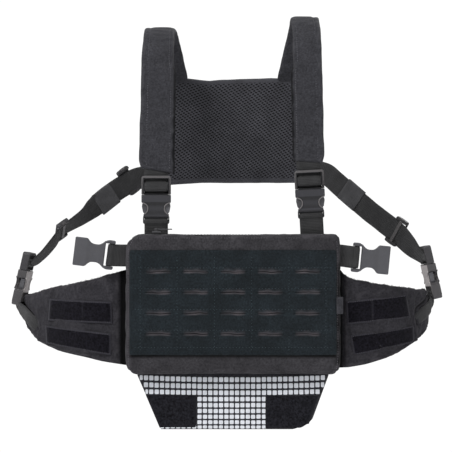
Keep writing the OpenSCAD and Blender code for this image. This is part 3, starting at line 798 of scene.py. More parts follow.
def side_tag():
    across = np.linspace(0, 1, 8)[:, None]
    p = surface(np.linspace(108, 115.2, 8)[:, None], 0, np.linspace(-288, -306, 14)[None])
    p[..., 1] = FRONT - 2.2 + 1.6 * across ** 2 + 0.3 * fbm(p, 8, 2)
    o = slab("side_tag_fold", p, 0.5, 0.5, M["tag_cloth"])
    rounder(o)
    show(o, "harness", ["side_tag"])


# ---------------------------------------------------------------- flap
HINGE_Z, FLAP_Y, DROP = -371.6, -80.5, 57


def flap_sides(drop):
    """Where the flap's two edges are across, at a distance below its hinge."""
    t = np.clip(np.asarray(drop, float) / DROP, 0, 1)
    return -(101 - 25 * t), 101 - 21 * t


def flat_patch(corners, nu, nv):
    """Points across a four-cornered patch: corners go round it, from the top left."""
    a, b, c, d = [np.array(q, float) for q in corners]
    u, v = np.linspace(0, 1, nu)[:, None], np.linspace(0, 1, nv)[None, :, None]
    return between(between(a, b, u)[:, None], between(d, c, u)[:, None], v)


def flap():
    n, m = 74, 34
    drops = np.linspace(-2, DROP, m)[None]
    p = surface(between(*flap_sides(drops), np.linspace(0, 1, n)[:, None]), 0, HINGE_Z - drops)
    p[..., 2] += ramp(p[..., 0], 62, 80) * ramp(drops, 44, 57) * 5.5
    p[..., 1] = FLAP_Y + 0.5 * fbm(p, 45, 3) * ramp(-p[..., 2], 374, 384)
    rim = edge_round(p, (2, 2, 0, 2))
    o = slab("flap", p, 0.3 + 0.5 * rim, 0.3 + 0.5 * rim, M["lining"])
    show(o, replaces=["flap_base"])
    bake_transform(o)
    flap_squares()
    patches = (("right", [(-92, -392.6), (-39, -393.2), (-39, -426.9), (-77.4, -426.9)]),
               ("left", [(34, -393.5), (90, -393.5), (79, -427.0), (34, -427.5)]))
    for n, corners in patches:
        s = -1 if n == "right" else 1
        q = flat_patch(corners, 44, 28)
        q = surface(q[..., 0], FLAP_Y - 1.1, q[..., 1])
        if n == "left":
            q[..., 2] += ramp(q[..., 0], 70, 82) * ramp(-q[..., 2], 416, 427) * 5
        rim = edge_round(q, (1.5, 1.5, 1.5, 1.5))
        tuft = 0.35 * fbm(q, 2.2, 6 + s, 2) + 0.2 * fbm(q, 9, s)
        at = run_length(q[:, 14])[:, None]
        edge = (1 - ramp(np.minimum(at, at[-1] - at), 1.2, 2.6)) * np.ones(rim.shape)
        o = slab(f"flap_hook_patch_{n}", q, 0.2 + rim * (1.0 + tuft), 0.1, M["hook"], attrs={"edge": edge})
        show(o, "flap", ["flap_hook_patches"])


def flap_squares():
    """The pale squares, in columns that bow up a little towards the flap's sides and stop at its patches."""
    rows = {-376.3: 5.5, -383.4: 5.5, -390.2: 5.2, -396.8: 5.0, -403.2: 4.9, -409.4: 4.8, -415.4: 4.6,
            -421.2: 4.4, -426.2: 3.4}
    rnd = random.Random(5)
    bm = bmesh.new()
    for z, height in rows.items():
        left, right = flap_sides(HINGE_Z - z)
        for k in range(-18, 19):
            x = k * 5.66 - 1.3
            x1, x2 = max(x - 2.25, left + 0.4), min(x + 2.25, right - 0.4)
            on_patch = z < -392 and (x < (-39.5 if z > -426 else -79) or x > 34.5)
            if x2 - x1 < 1.4 or on_patch:
                continue
            up = 2.2 * (x / 95) ** 2 * (1 - np.clip((-z - 376) / 50, 0, 1))
            at_x = (x1 + x2) / 2 + rnd.uniform(-.1, .1)
            at_z = z + up + rnd.uniform(-.12, .12)
            me = plate([rectangle((x2 - x1) / 2, height * 0.95 / 2, 1.1, 4)], 0.45, 0.3)
            place = Matrix.Translation((at_x * MM, (FLAP_Y - 1.15) * MM, at_z * MM))
            me.transform(place @ Matrix.Rotation(math.pi / 2, 4, "X"))
            bm.from_mesh(me)
            bpy.data.meshes.remove(me)
    out = bpy.data.meshes.new("flap_squares")
    bm.to_mesh(out)
    bm.free()
    layer = out.uv_layers.new(name="UV") if not out.uv_layers else out.uv_layers[0]
    for loop in out.loops:
        co = out.vertices[loop.vertex_index].co
        layer.data[loop.index].uv = (co.x, co.z)
    plain(out, M["tile"])
    o = bpy.data.objects.new("flap_squares", out)
    scene.collection.objects.link(o)
    show(o, "flap", ["flap_tiles"])


# ---------------------------------------------------------------- wings
# A wing is bent round a cylinder of radius r on a line at x = WING_X. Its outline, the slit for the tab and
# its loop patches are x, z points seen from the front, and split is where its upper patch is cut. The
# painted_shade entry is how far from the wing's inner end the painted shade of the gap behind the pouch
# reaches.
WING_X = -115.0
WINGS = {
    -1: {"r": 113.0, "split": -158, "painted_shade": 8.0, "past": 3,
         "top": [(-113, -260), (-152, -271), (-192, -280), (-222, -288.5), (-228, -291.5)],
         "low": [(-113, -361), (-138, -357), (-162, -352), (-186, -347), (-196, -343.5), (-210, -337.5),
                 (-218, -331), (-223.5, -324), (-228, -316)],
         "slit": [(-231, -289), (-228, -296), (-222, -303.5), (-214.5, -310), (-210, -317), (-208.5, -325)],
         "upper": [(-193, -291.5), (-127.5, -294), (-126.5, -317), (-195, -315)],
         "lower": [(-198, -320.5), (-128, -327.5), (-128, -350.5), (-197, -339.5)]},
    1: {"r": 97.0, "split": -146, "painted_shade": 5.0, "past": 14,
        "top": [(-111, -257.5), (-117, -264.5), (-123, -268.6), (-134, -271.4), (-158, -275.6),
                (-177, -278.7), (-191, -280.5), (-199, -282.7), (-207, -281.8), (-212, -288)],
        "low": [(-112, -363.7), (-122, -363.3), (-140, -360.4), (-162, -354.2), (-183, -345.1),
                (-197.6, -336.5), (-206, -331.5), (-210, -327), (-212, -318)],
        "slit": [(-213, -286), (-205, -295), (-200.5, -298.4), (-195, -302.8), (-194.3, -308),
                 (-195.9, -319.5)],
        "upper": [(-182.5, -287), (-119, -293.3), (-120, -318), (-187, -312)],
        "lower": [(-190.5, -321), (-123, -329.5), (-127, -350.5), (-191.5, -338)]}}


def on_wing(s, x, z, off=0.0):
    """The points off mm outside the wing's middle surface that are seen at x, z from the front, and the
    directions out of it there."""
    r = WINGS[s]["r"]
    x, z = np.asarray(x, float), np.asarray(z, float)
    cx = np.clip((x - WING_X) / r, -0.99995, 0.2)
    ny = -np.sqrt(1 - cx ** 2)
    return surface(WING_X + (r + off) * cx, r - 80 + (r + off) * ny, z), surface(cx, ny, 0)


def height_at(x, line):
    """Height of an outline given as x, z points."""
    return np.interp(x, *zip(*sorted(line)))


def line_distance(x, z, line):
    """Distance from each x, z to the nearest stretch of a line."""
    best = np.full(x.shape, 1e9)
    for (ax, az), (bx, bz) in zip(line[:-1], line[1:]):
        dx, dz = bx - ax, bz - az
        t = np.clip(((x - ax) * dx + (z - az) * dz) / (dx * dx + dz * dz), 0, 1)
        best = np.minimum(best, np.hypot(x - ax - t * dx, z - az - t * dz))
    return best


def wing(s, n):
    spec = WINGS[s]
    r, slit_line = spec["r"], spec["slit"]
    a0, a1 = math.radians(272.6), math.radians(181)
    along = stations(r * (a0 - a1), 2.0, 4)
    ang = (a0 - along / r)[:, None]
    down = stations(100, 2.4, 4) / 100
    x = WING_X + r * np.cos(ang)
    z = between(height_at(x, spec["top"]), height_at(x, spec["low"]), down)
    p = surface(x, r - 80 + r * np.sin(ang), z)
    gap = run_length(p[:, 0])[:, None] - 2.2
    rag = fbm(p, 5, 3 * s, 2)
    p[..., 2] += (1 - ramp(down, 0, 0.04))[None] * rag + 0.5 * fbm(p, 30, s) * ramp(gap, 6, 30)
    slit = line_distance(p[..., 0], p[..., 2], slit_line)
    slit_x = np.interp(-p[..., 2], [-z for _, z in slit_line], [x for x, _ in slit_line])
    past = (p[..., 0] < slit_x) * (p[..., 2] < slit_line[0][1] - spec["past"])
    rim = edge_round(p, (0, 3, 2.2, 3.5))
    puff = 0.9 * fbm(p, 28, 2 + s) + 0.35 * fbm(p, 10, 5 + s)
    groove = 2.6 * (1 - ramp(slit, 0.4, 2.4)) + 1.6 * past * ramp(slit, 0, 2)
    hem = 0.8 * (1 - ramp(np.abs(down * 95 - 89), 0.5, 2.2))[None] * ramp(gap, 6, 20)
    seam = 4.0 * (1 - ramp(np.abs(gap - 4), 2.0, 5.5))
    front = np.maximum(0.2 + 3.2 * rim + puff * rim - groove - hem * rim - seam, -2.6)
    _, outward = on_wing(s, p[..., 0], p[..., 2])
    # Painted shade where the wing runs in behind the pouch, and along the slit for the tab
    painted_shade = np.maximum(1 - ramp(gap, spec["painted_shade"] - 1, spec["painted_shade"]), 0.85 * (1 - ramp(slit, 0.3, 1.5)))
    attrs = {"edge": painted_shade * np.ones(rim.shape)}
    o = slab(f"wing_{n}", sided(s, p), front, 0.2 + 3.1 * rim, M["wing_cloth"], sided(s, outward), attrs)
    pin = np.where((rim < 0.55) | (slit < 2.6) | (gap < 16), 1.0, 0.0)
    inflate(o, [pin, pin], 3.0, 1.1, -0.02)
    show(o, replaces=[f"wing_cover_{n}", f"wing_foam_{n}"])
    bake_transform(o)
    for k in ("upper", "lower"):
        loop_patch(s, n, k, spec[k], spec["split"] if k == "upper" else None)
    fray(s, n, random.Random(3 + s))


def loop_patch(s, n, k, corners, split):
    """A patch of loop tape sewn on a wing, with a cut line across it where x is split."""
    q = flat_patch(corners, 60, 24)
    base, outward = on_wing(s, q[..., 0], q[..., 1], 3.6)
    u, v = np.linspace(0, 1, 60)[:, None], np.linspace(0, 1, 24)[None]
    far = np.minimum(from_ends(u, 66), from_ends(v, 23))
    rise = ramp(far, 0, 0.9) * 0.7 + ramp(far, 1.9, 3.0) * 0.7
    rise = rise + ramp(far, 2, 4) * (0.45 * fbm(base, 2.0, 3 + s, 2) + 0.35 * fbm(base, 12, 5))
    edge = (1 - ramp(far, 1.0, 1.8)) * 0.9
    if split is not None:
        cut = 1 - ramp(np.abs(q[..., 0] - split), 0.3, 1.4)
        rise = rise - 0.7 * cut
        edge = np.maximum(edge, (0.15 if s < 0 else 0.3) * cut)
    name = f"loop_patch_{k}_{n}"
    o = slab(name, sided(s, base), 0.3 + rise, 0.8, M["loop"], sided(s, outward), {"edge": edge})
    show(o, f"wing_{n}", [f"wing_loop_patches_{n}"])
    a, b, c, d = [np.array(q, float) for q in corners]
    inner = [a + (c - a) * 0.03 + [0, -0.9], b + (d - b) * 0.03 + [0, -0.9],
             c + (a - c) * 0.03 + [0, 0.9], d + (b - d) * 0.03 + [0, 0.9]]
    t = np.linspace(0, 1, 30)[:, None]
    ring = np.vstack([between(e, f, t) for e, f in zip(inner, inner[1:] + inner[:1])])
    at, outward = sided(s, on_wing(s, ring[:, 0], ring[:, 1], 4.5))
    sew(f"loop_stitches_{k}_{n}", at, outward, "thread", (2.4, 1.7, 0.28), f"wing_{n}")


def fray(s, n, rnd):
    """Loose threads along a wing's raw top edge."""
    spec = WINGS[s]
    verts, faces = [], []
    for _ in range(150):
        x = np.array([rnd.uniform(WING_X - spec["r"] + 4, -118)])
        base, _ = on_wing(s, x, height_at(x, spec["top"]), rnd.uniform(-2, 2.5))
        root = base[0] + [0, 0, -0.8]
        tip = root + np.array([rnd.uniform(-1.2, 1.2), rnd.uniform(-.5, .5), rnd.uniform(1.2, 2.5)])
        k = len(verts)
        verts += [root + [0.17, 0, 0], root + [-0.17, 0, 0], root + [0, 0.17, 0], tip]
        faces += [(k, k + 1, k + 3), (k + 1, k + 2, k + 3), (k + 2, k, k + 3), (k, k + 2, k + 1)]
    o = build(f"wing_fray_{n}", sided(s, verts), faces, M["wing_cloth"])
    fix_normals(o)
    show(o, f"wing_{n}")


# ---------------------------------------------------------------- buckles
def socket_parts(tail, half=4.5, chunky=False):
    """The female half of a side-release buckle: x across, y from its mouth to its bar, z through. Its head is
    9.5 mm long, its waist 13 mm, and tail is the length of its bar end."""
    mouth, head = 0.5, 9.5
    waist = head + 13
    end = waist + tail
    outline = soft_loop(mirrored([
        (15.5, mouth, 1.2), (15.5, head - 0.9, 1.4), (12.4, head + 0.9, 1.6), (8.8, head + 2.8, 2.4),
        (8.5, waist - 5.4, 2.4), (11.6, waist - 2.6, 1.8), (13.4, waist - 0.6, 1.4),
        (13.8, waist + 2.4, 0.8)]), 1.2, 6)
    core = soft_loop(mirrored([(8.3, head + 2), (8.3, waist - 5), (13.2, waist), (13.2, waist + 2.2)]), 0.8)
    parts = [plate([outline], 1.3, 0.9, -half + 1.3), plate([outline], 1.3, 0.9, half - 1.3),
             plate([core], half - 1.6, 0.2)]
    for sx in (-1, 1):
        wall = [(15.5, mouth + 0.3), (15.5, head - 1), (12.8, head + 0.4), (12.8, mouth + 0.3)]
        parts.append(plate([soft_loop([(sx * x, y) for x, y in wall], 0.5)], half - 1.4, 0.3))
    ring = soft_loop(mirrored([(13.9, waist + 1), (14.0, end, 2.6)]), 0.8)
    hole = soft_loop(mirrored([(12.7, waist + 2.6), (12.7, end - 4.2)]), 0.5)
    parts.append(plate([ring, hole], half, 1.2) if chunky else plate([ring, hole], 2.3, 0.8))
    # Fuller waist at the back, and a raised rib round each side notch
    parts.append(plate([soft_loop(mirrored([(12.8, head), (12.4, waist)]), 0.5)], 0.8, 0.3, half - 1.0))
    notch = [(14.9, head - .7), (12.2, head + .4), (9.6, head + 2.3), (8.7, head + 5.1),
             (9.3, waist - 4.6), (11.4, waist - 2.2), (13.2, waist - 1)]
    for sx in (-1, 1):
        rib = ribbon([(sx * x, y) for x, y in notch], 1.1)
        parts += [plate([rib], 0.6, 0.3, sz * (half + 0.2)) for sz in (-1, 1)]
    return parts


def ribbon(points, width):
    """Outline of a band of the given width along x, y points."""
    p = spline([list(q) + [0] for q in points], 16)[:, :2]
    t = unit(np.gradient(p, axis=0))
    side = np.stack([-t[:, 1], t[:, 0]], -1) * width / 2
    return list(p + side) + list((p - side)[::-1])


def plug_parts(half=3.0):
    """The male half: a frame with a grip bar for the webbing, and the tongue between its prongs."""
    outer = soft_loop(mirrored([(15.5, -19.5, 3.4), (15.5, 0.3, 0.4)]), 1)
    hole = soft_loop(mirrored([(12.7, -16.4), (12.7, -0.9)]), 1.2)
    tongue = soft_loop(mirrored([(12.4, -0.5), (12.4, 4), (3.6, 4.4), (3.4, 16)]), 0.6)
    grip = soft_loop(mirrored([(13.4, -11), (13.4, -5)]), 0.3)
    return [plate([outer, hole], half, 0.9), plate([grip], 1.4, 0.5), plate([tongue], 2.0, 0.3)]


def buckle_frame(o, v, w):
    """Local axes of a buckle: y along v, and z through it along w."""
    v, w = unit(v), unit(w)
    return placed(o, np.cross(v, w), v, w)


def local(m, pts):
    """Points x, y, z of a buckle's own frame, in mm, as points of the vest."""
    return np.array([list((m @ (Vector(p) * MM)) / MM) for p in np.asarray(pts, float)])


def ladder_path(up):
    """Webbing down behind the top bar, round the grip bar and back up: y, z in the buckle's frame."""
    return [(-up, 4.1), (-20, 4.1), (-15.5, 3.6), (-13.1, 1.6), (-12.3, -0.8), (-11.2, -2.5), (-8, -2.9),
            (-4.8, -2.5), (-3.6, -0.9), (-3.4, 0.8), (-1.6, 2.2), (-1.4, 3.6), (-4, 4.6), (-9, 4.8),
            (-16, 5.8), (-up, 5.9)]


def bar_loop(bar, low):
    """Webbing folded round a bar, both ends going to low: y, z."""
    r = 3.1
    half = [(low, 0.9), (bar + r + 2.5, 1.2), (bar + r * 0.5, r * 0.95), (bar, r), (bar - r * 0.75, r * 0.72)]
    return half + [(bar - r, 0)] + [(y, -z) for y, z in half[::-1]]


def web_in(name, m, yz, width, n=70):
    """Webbing along y, z points of a buckle's own frame."""
    across = (m.to_3x3() @ Vector((1, 0, 0))).normalized()
    points = local(m, [(0, y, z) for y, z in yz])
    return strap(name, points, [list(across)] * len(points), width, 1.5, M["webbing"], n)


def polish(node, mat):
    """A hard CAD node shown as it is, with its edges rounded and a material of its own."""
    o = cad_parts[node]
    o.data.materials.clear()
    o.data.materials.append(M[mat])
    o.data.polygons.foreach_set("material_index", [0] * len(o.data.polygons))
    w = o.modifiers.new("weld", "WELD")
    w.merge_threshold = 0.00001
    b = o.modifiers.new("edges", "BEVEL")
    b.width, b.segments, b.limit_method, b.angle_limit = 0.0005, 2, "ANGLE", math.radians(40)


def shoulder_buckle(s, n):
    z0 = -174.5 if s > 0 else -180.5
    lean = math.radians(3 if s > 0 else 0)
    o = sided(s, [-81, -83, z0])
    v = sided(s, [-math.sin(lean), 0, -math.cos(lean)])
    m = buckle_frame(o, v, [0, 1, 0])
    o = assemble(f"shoulder_plug_{n}_frame", plug_parts(), m, M["buckle_plastic"])
    # Painted highlight on the frame's front rim
    paint(o, m, lambda q: 0.2 * (q.z < -0.0022 and (abs(q.x) > 0.0136 or q.y < -0.0172)))
    show(o, "harness", [f"shoulder_plug_{n}"])
    o = assemble(f"shoulder_socket_{n}_body", socket_parts(9), m, M["buckle_plastic"])
    # Painted highlight on the raised ribs round the side notches
    paint(o, m, lambda q: 0.34 * (abs(q.z) > 0.00475))
    show(o, "harness", [f"shoulder_socket_{n}"])
    ladder = web_in(f"shoulder_webbing_{n}", m, ladder_path(30), 25.2)
    show(ladder, "harness", [f"shoulder_strap_{n}"])
    into_pouch = web_in(f"pouch_webbing_{n}", m, bar_loop(28.3, z0 - POUCH_TOP + 3), 24.8)
    show(into_pouch, "harness", [f"pouch_stub_{n}"])
    for k in ("inner", "outer"):
        polish(f"shoulder_prong_{k}_{n}", "prong_plastic")


def side_frame(s):
    """A side buckle leans outwards at its foot and is turned a little, so that it is seen nearly edge on."""
    lean, turn = math.radians(12.5), math.radians(8)
    v = sided(s, [-math.sin(lean), 0, -math.cos(lean)])
    out = sided(s, [math.cos(lean), 0, -math.sin(lean)])
    w = out * math.cos(turn) + np.array([0, -1, 0]) * math.sin(turn)
    return buckle_frame(sided(s, [-226.7, 14, -262] if s < 0 else [-214, 14, -255]), v, w)


# From a side socket's bar into the slit at the wing's tip
TABS = {-1: [(-234.5, 14, -294), (-236.5, 12, -299.5), (-233.5, 5, -303.5), (-228.5, -5, -307),
             (-222.5, -17, -311.5), (-216, -25, -317.5), (-209.5, -27, -323)],
        1: [(-216.5, 14, -286), (-217.5, 12, -294), (-216.5, 5, -299), (-214, -6, -302.5),
            (-208.5, -20.5, -306.5), (-202, -30.5, -311), (-196, -35, -316)]}


def side_buckle(s, n):
    m = side_frame(s)
    body = f"wing_{n}"
    o = assemble(f"side_plug_{n}_frame", plug_parts(4.2), m, M["buckle_plastic"])
    # Painted highlight along one side edge of the plug, and a faint one all over
    paint(o, m, lambda q: 0.2 if abs(q.z) < 0.003 and q.x * s < -0.012 else 0.06)
    show(o, body, [f"side_plug_{n}"])
    o = assemble(f"side_socket_{n}_body", socket_parts(17, 5.2, True), m, M["buckle_plastic"])
    # Painted reflection on the socket's inner face, and a faint painted highlight all over
    paint(o, m, lambda q: 1.0 if q.z > 0.0049 and 0.001 < q.y < 0.0245 else 0.12)
    show(o, body, [f"side_socket_{n}"])
    for k in ("front", "rear"):
        polish(f"side_prong_{k}_{n}", "prong_plastic")
    turned = 0 if s < 0 else -0.45
    dirs = [(turned, 1, 0), (turned, .95, -.2), (-.1, .8, -.5), (-.16, .5, -.8)] + [(-.16, .35, -.92)] * 3
    points, dirs = sided(s, TABS[s]), sided(s, dirs)
    o = strap(f"wing_tab_{n}_webbing", points, dirs, 15.5, 2.8, M["webbing"], 50, 0.4, 3 + s)
    show(o, body, [f"wing_tab_{n}"])


# ---------------------------------------------------------------- straps at the sides
UP = (0, 0, 1)
TWIST = (0, -.9, .45)
# Each point of a side strap has its width direction. b and c are the ends of the straight run that the
# keeper sits on, and turns are where the strap goes over from the back to the wing.
STRAPS = {
    -1: {"b": (-107, 78, -160.5), "c": (-154.4, 53, -199), "keeper": 0.726, "up": 4.6,
         "glide": ((-188.5, 31, -218.6), TWIST), "turns": ((-192, 29, -226), (-214, 16, -252)),
         "path": [((-74, 81, -154), UP), ((-84, 81, -157), UP), ((-107, 78, -160.5), UP),
                  ((-124, 70, -170), UP), ((-141.5, 60, -182.8), UP), ((-155, 52, -193.8), (0, -.25, 1)),
                  ((-167, 44.5, -204.5), (0, -.7, .7)), ((-188, 31, -218.8), TWIST),
                  ((-197, 26, -232), (-.2, -.94, .28)), ((-207, 20, -244), (-.2, -.94, .25)),
                  ((-215.5, 16.5, -252), (-.2, -.95, .2)), ((-222, 14.5, -257), (-.1, -1, .1))]},
    1: {"b": (-104, 78, -155), "c": (-152, 50, -198), "keeper": 0.6, "up": 1.6,
        "glide": ((-181.4, 31.0, -220.0), UP), "turns": ((-188, 26, -227), (-204, 16, -246)),
        "path": [((-74, 81, -148), UP), ((-84, 81, -151), UP), ((-104, 78, -155), UP),
                 ((-118, 70, -166.5), UP), ((-132.8, 61.5, -180), UP), ((-152, 50, -197), UP),
                 ((-165, 41, -207.5), UP), ((-178.2, 32.5, -218.5), UP), ((-186, 27, -226), (0, -.1, 1)),
                 ((-194, 22, -235), (-.25, -.5, .8)), ((-201.5, 18, -243), (-.3, -.82, .5)),
                 ((-210.5, 15, -251), (-.2, -.9, .3))]}}


def side_strap(s, n):
    spec = STRAPS[s]
    points, dirs = (sided(s, rows) for rows in zip(*spec["path"]))
    o = strap(f"side_webbing_{n}", points, dirs, 24.5, 1.6, M["webbing"], 130, 0.55, 5 + s, 13)
    show(o, replaces=[f"side_strap_{n}", f"buckle_strap_{n}"])
    start, end = (tuple(sided(s, q) * MM) for q in spec["turns"])
    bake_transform(o)
    # Where it is folded round the plug's bar
    fold = [(-9, -3.2), (-5, -3.2), (-3.6, -1), (-3.6, 1), (-5, 3.1), (-8, 3.4), (-11, 3.2), (-12.4, 1.2),
            (-12.2, -1), (-11, -3)]
    show(web_in(f"side_fold_{n}", side_frame(s), fold, 24, 40), f"wing_{n}")
    keeper(s, n)
    at, across = spec["glide"]
    o = glide(f"tri_glide_{n}_frame", s, at, (-.715, -.46, -.53), across)
    show(o, f"tri_glide_{n}", [f"tri_glide_{n}"])


def keeper(s, n):
    """The elastic band that holds the strap's layers together."""
    spec = STRAPS[s]
    b, c, up = (np.array(q, float) for q in (spec["b"], spec["c"], UP))
    run = unit(c - b)
    side = unit(up - run * (up @ run))
    face = np.cross(run, side)
    middle = b + (c - b) * spec["keeper"] + [0, 0, spec["up"]]
    along = stations(25, 2.0, 1.5)
    rings = []
    for t in along - 12.5:
        half = (2.5 + 0.15 * math.sin(t * 1.2)) * (1 - 0.25 * ramp(abs(t), 10.7, 12.5))
        for a in np.linspace(0, 2 * np.pi, 40, endpoint=False):
            ca, sa = math.cos(a), math.sin(a)
            px = 12.9 * math.copysign(abs(ca) ** 0.35, ca)
            py = half * math.copysign(abs(sa) ** 0.5, sa)
            rings.append(middle + run * t + side * px + face * py)
    k, q = len(along), 40
    faces = [(i * q + j, (i + 1) * q + j, (i + 1) * q + (j + 1) % q, i * q + (j + 1) % q)
             for i in range(k - 1) for j in range(q)]
    faces += [tuple(range(q)), tuple((k - 1) * q + j for j in range(q))[::-1]]
    uv = np.stack(np.broadcast_arrays(np.linspace(0, 60, q), along[:, None]), -1).reshape(-1, 2)
    o = build(f"strap_keeper_{n}_band", sided(s, rings), faces, M["elastic"], uv)
    fix_normals(o)
    show(o, f"strap_keeper_{n}", [f"strap_keeper_{n}"])


def glide(name, s, at, along, across, middle=-2.2):
    """A three-bar slider: its middle bar in front of the webbing, its outer bars behind it. One that is seen
    from behind has middle above 0, and a plate over its bars."""
    along, across = unit(along), unit(across)
    across = unit(across - along * (along @ across))
    u, v = sided(s, along), sided(s, across)
    w = np.cross(u, v)
    w = w * (1 if w[1] > 0 else -1)
    parts = [rod(1.2, 27, y, 2.2) for y in (-6.4, 6.4)]
    parts.append(plate([rectangle(13, 1.9, 0.3)], 0.9, 0.5, middle))
    if middle > 0:
        parts.append(plate([rectangle(13, 6, 0.3)], 0.6, 0.3, 2.2))
    for x in (-1, 1):
        lug = [(x * 11.8, -7.8), (x * 15.6, -7.8, 2.4), (x * 16.2, 0, 3), (x * 15.6, 7.8, 2.4),
               (x * 11.8, 7.8)]
        parts.append(plate([soft_loop(lug, 0.6)], 2.6, 0.9))
    place = placed(sided(s, at), v, u, w)
    o = assemble(name, parts, place, M["buckle_plastic"])
    # Painted highlight on the front of the middle bar, and a faint one all over
    paint(o, place, lambda q: 0.16 if abs(q.y) < 0.0021 and q.z < -0.001 else 0.03)
    return o


# ---------------------------------------------------------------- open stubs
def open_stub(s, n):
    """A webbing stub beside the pouch, and the empty buckle socket that it carries."""
    bar, plane, mid = -129.0, -91.0, -244.5
    tilt = math.radians(7.0 if s < 0 else -5.5)
    dip = 0 if s < 0 else 2.4
    v = sided(s, [math.cos(tilt), 0, -math.sin(tilt)])
    # Out to the bar, round it and back: x, distance behind the plane, and depth below mid
    loop = [(-109.5, 1.4, .5), (-113.6, 1, .5), (-118, .9, .5), (-124.5, 1.6, .3), (-128, 3, 0),
            (-131.4, 2, 0), (-132.2, 0, 0), (-131.4, -2, 0), (-128, -3, 0), (-124.5, -1.6, .3),
            (-118, -.9, .5), (-113.6, -1, .5), (-109.5, -1, .5)]
    points = np.array([(x, plane + y, mid - z) for x, y, z in loop])
    points[:, 2] -= dip * ramp(-points[:, 0], 110, 132)
    turn = tilt * ramp(-points[:, 0], 112, 123)
    dirs = sided(s, surface(np.sin(turn), 0, np.cos(turn)))
    o = strap(f"open_stub_{n}_webbing", sided(s, points), dirs, 23.2, 1.5, M["webbing"], 70, 0.25, s)
    show(o, f"open_stub_{n}", [f"open_stub_{n}"])
    # Its socket: y runs from the mouth to the bar
    end = 40.5
    short = 1.0 if s < 0 else 0.93
    origin = sided(s, [bar, plane, mid - dip]) - v * (end - 2.2) * short
    m = buckle_frame(origin, v, [0, 1, 0]) @ Matrix.Diagonal((1, short, 1, 1))
    outline = soft_loop(mirrored([
        (15, 0, 1.4), (15, 12.6, 1.6), (9.6, 17.4, 3.5), (9.4, 25.5, 4.5), (11.6, 29.2, 3), (13.9, 31.5, 3.5),
        (15.6, 35, 2.5), (15.4, end + 1.8, 3), (11.8, end + 1.8, 0.8), (11.8, 32.2, 0.6)]), 1.2, 6)
    core = soft_loop(mirrored([(9.3, 16), (9.3, 26), (12.6, 31.8)]), 0.6)
    wall = [(14.5, 0.4), (14.5, 12.4), (11.6, 15), (11.6, 0.4)]
    lug = [(14, 31), (14, end - 1), (12.2, end - 1), (12.2, 31)]
    parts = [plate([outline], 1.4, 0.9, -3.1), plate([outline], 1.4, 0.9, 3.1)]
    parts += [plate([soft_loop([(side * x, y) for x, y in wall], 0.4)], 2.7, 0.3) for side in (-1, 1)]
    parts.append(plate([core], 2.6, 0.2))
    parts += [plate([soft_loop([(side * x, y) for x, y in lug], 0.4)], 2.4, 0.3) for side in (-1, 1)]
    parts.append(rod(2.0, 27, end - 2.2))
    o = assemble(f"open_socket_{n}_body", parts, m, M["buckle_plastic_lit"])
    show(o, f"open_socket_{n}", [f"open_socket_{n}"])


# ---------------------------------------------------------------- shoulder pads
def pad_points(lift):
    """Side view of a pad, y and z, from its front end over the shoulder to its rear end: two straight runs
    that touch a circle."""
    c, r = np.array([-5.0, -62.0 + lift]), 66.0
    f, e = np.array([-79.0, -150.0 + lift - (2.5 if lift > 0 else 0)]), np.array([81.0, -50.5])

    def touch(p, turn):
        d = p - c
        return math.atan2(d[1], d[0]) + turn * math.acos(r / np.linalg.norm(d))

    a0, a1 = touch(f, -1) + 2 * math.pi, touch(e, 1)
    angles = np.linspace(a0, a1, 90)
    turn = c + r * np.stack([np.cos(angles), np.sin(angles)], -1)
    path = np.vstack([np.linspace(f, turn[0], 60)[:-1], turn, np.linspace(turn[-1], e, 40)[1:]])
    s = run_length(path)
    at = stations(s[-1], 2.8, 4)
    return sample(at, s, path), at


def smoothed(row):
    """Running mean over nine values."""
    return np.convolve(np.pad(row, 4, "edge"), np.ones(9) / 9, "valid")


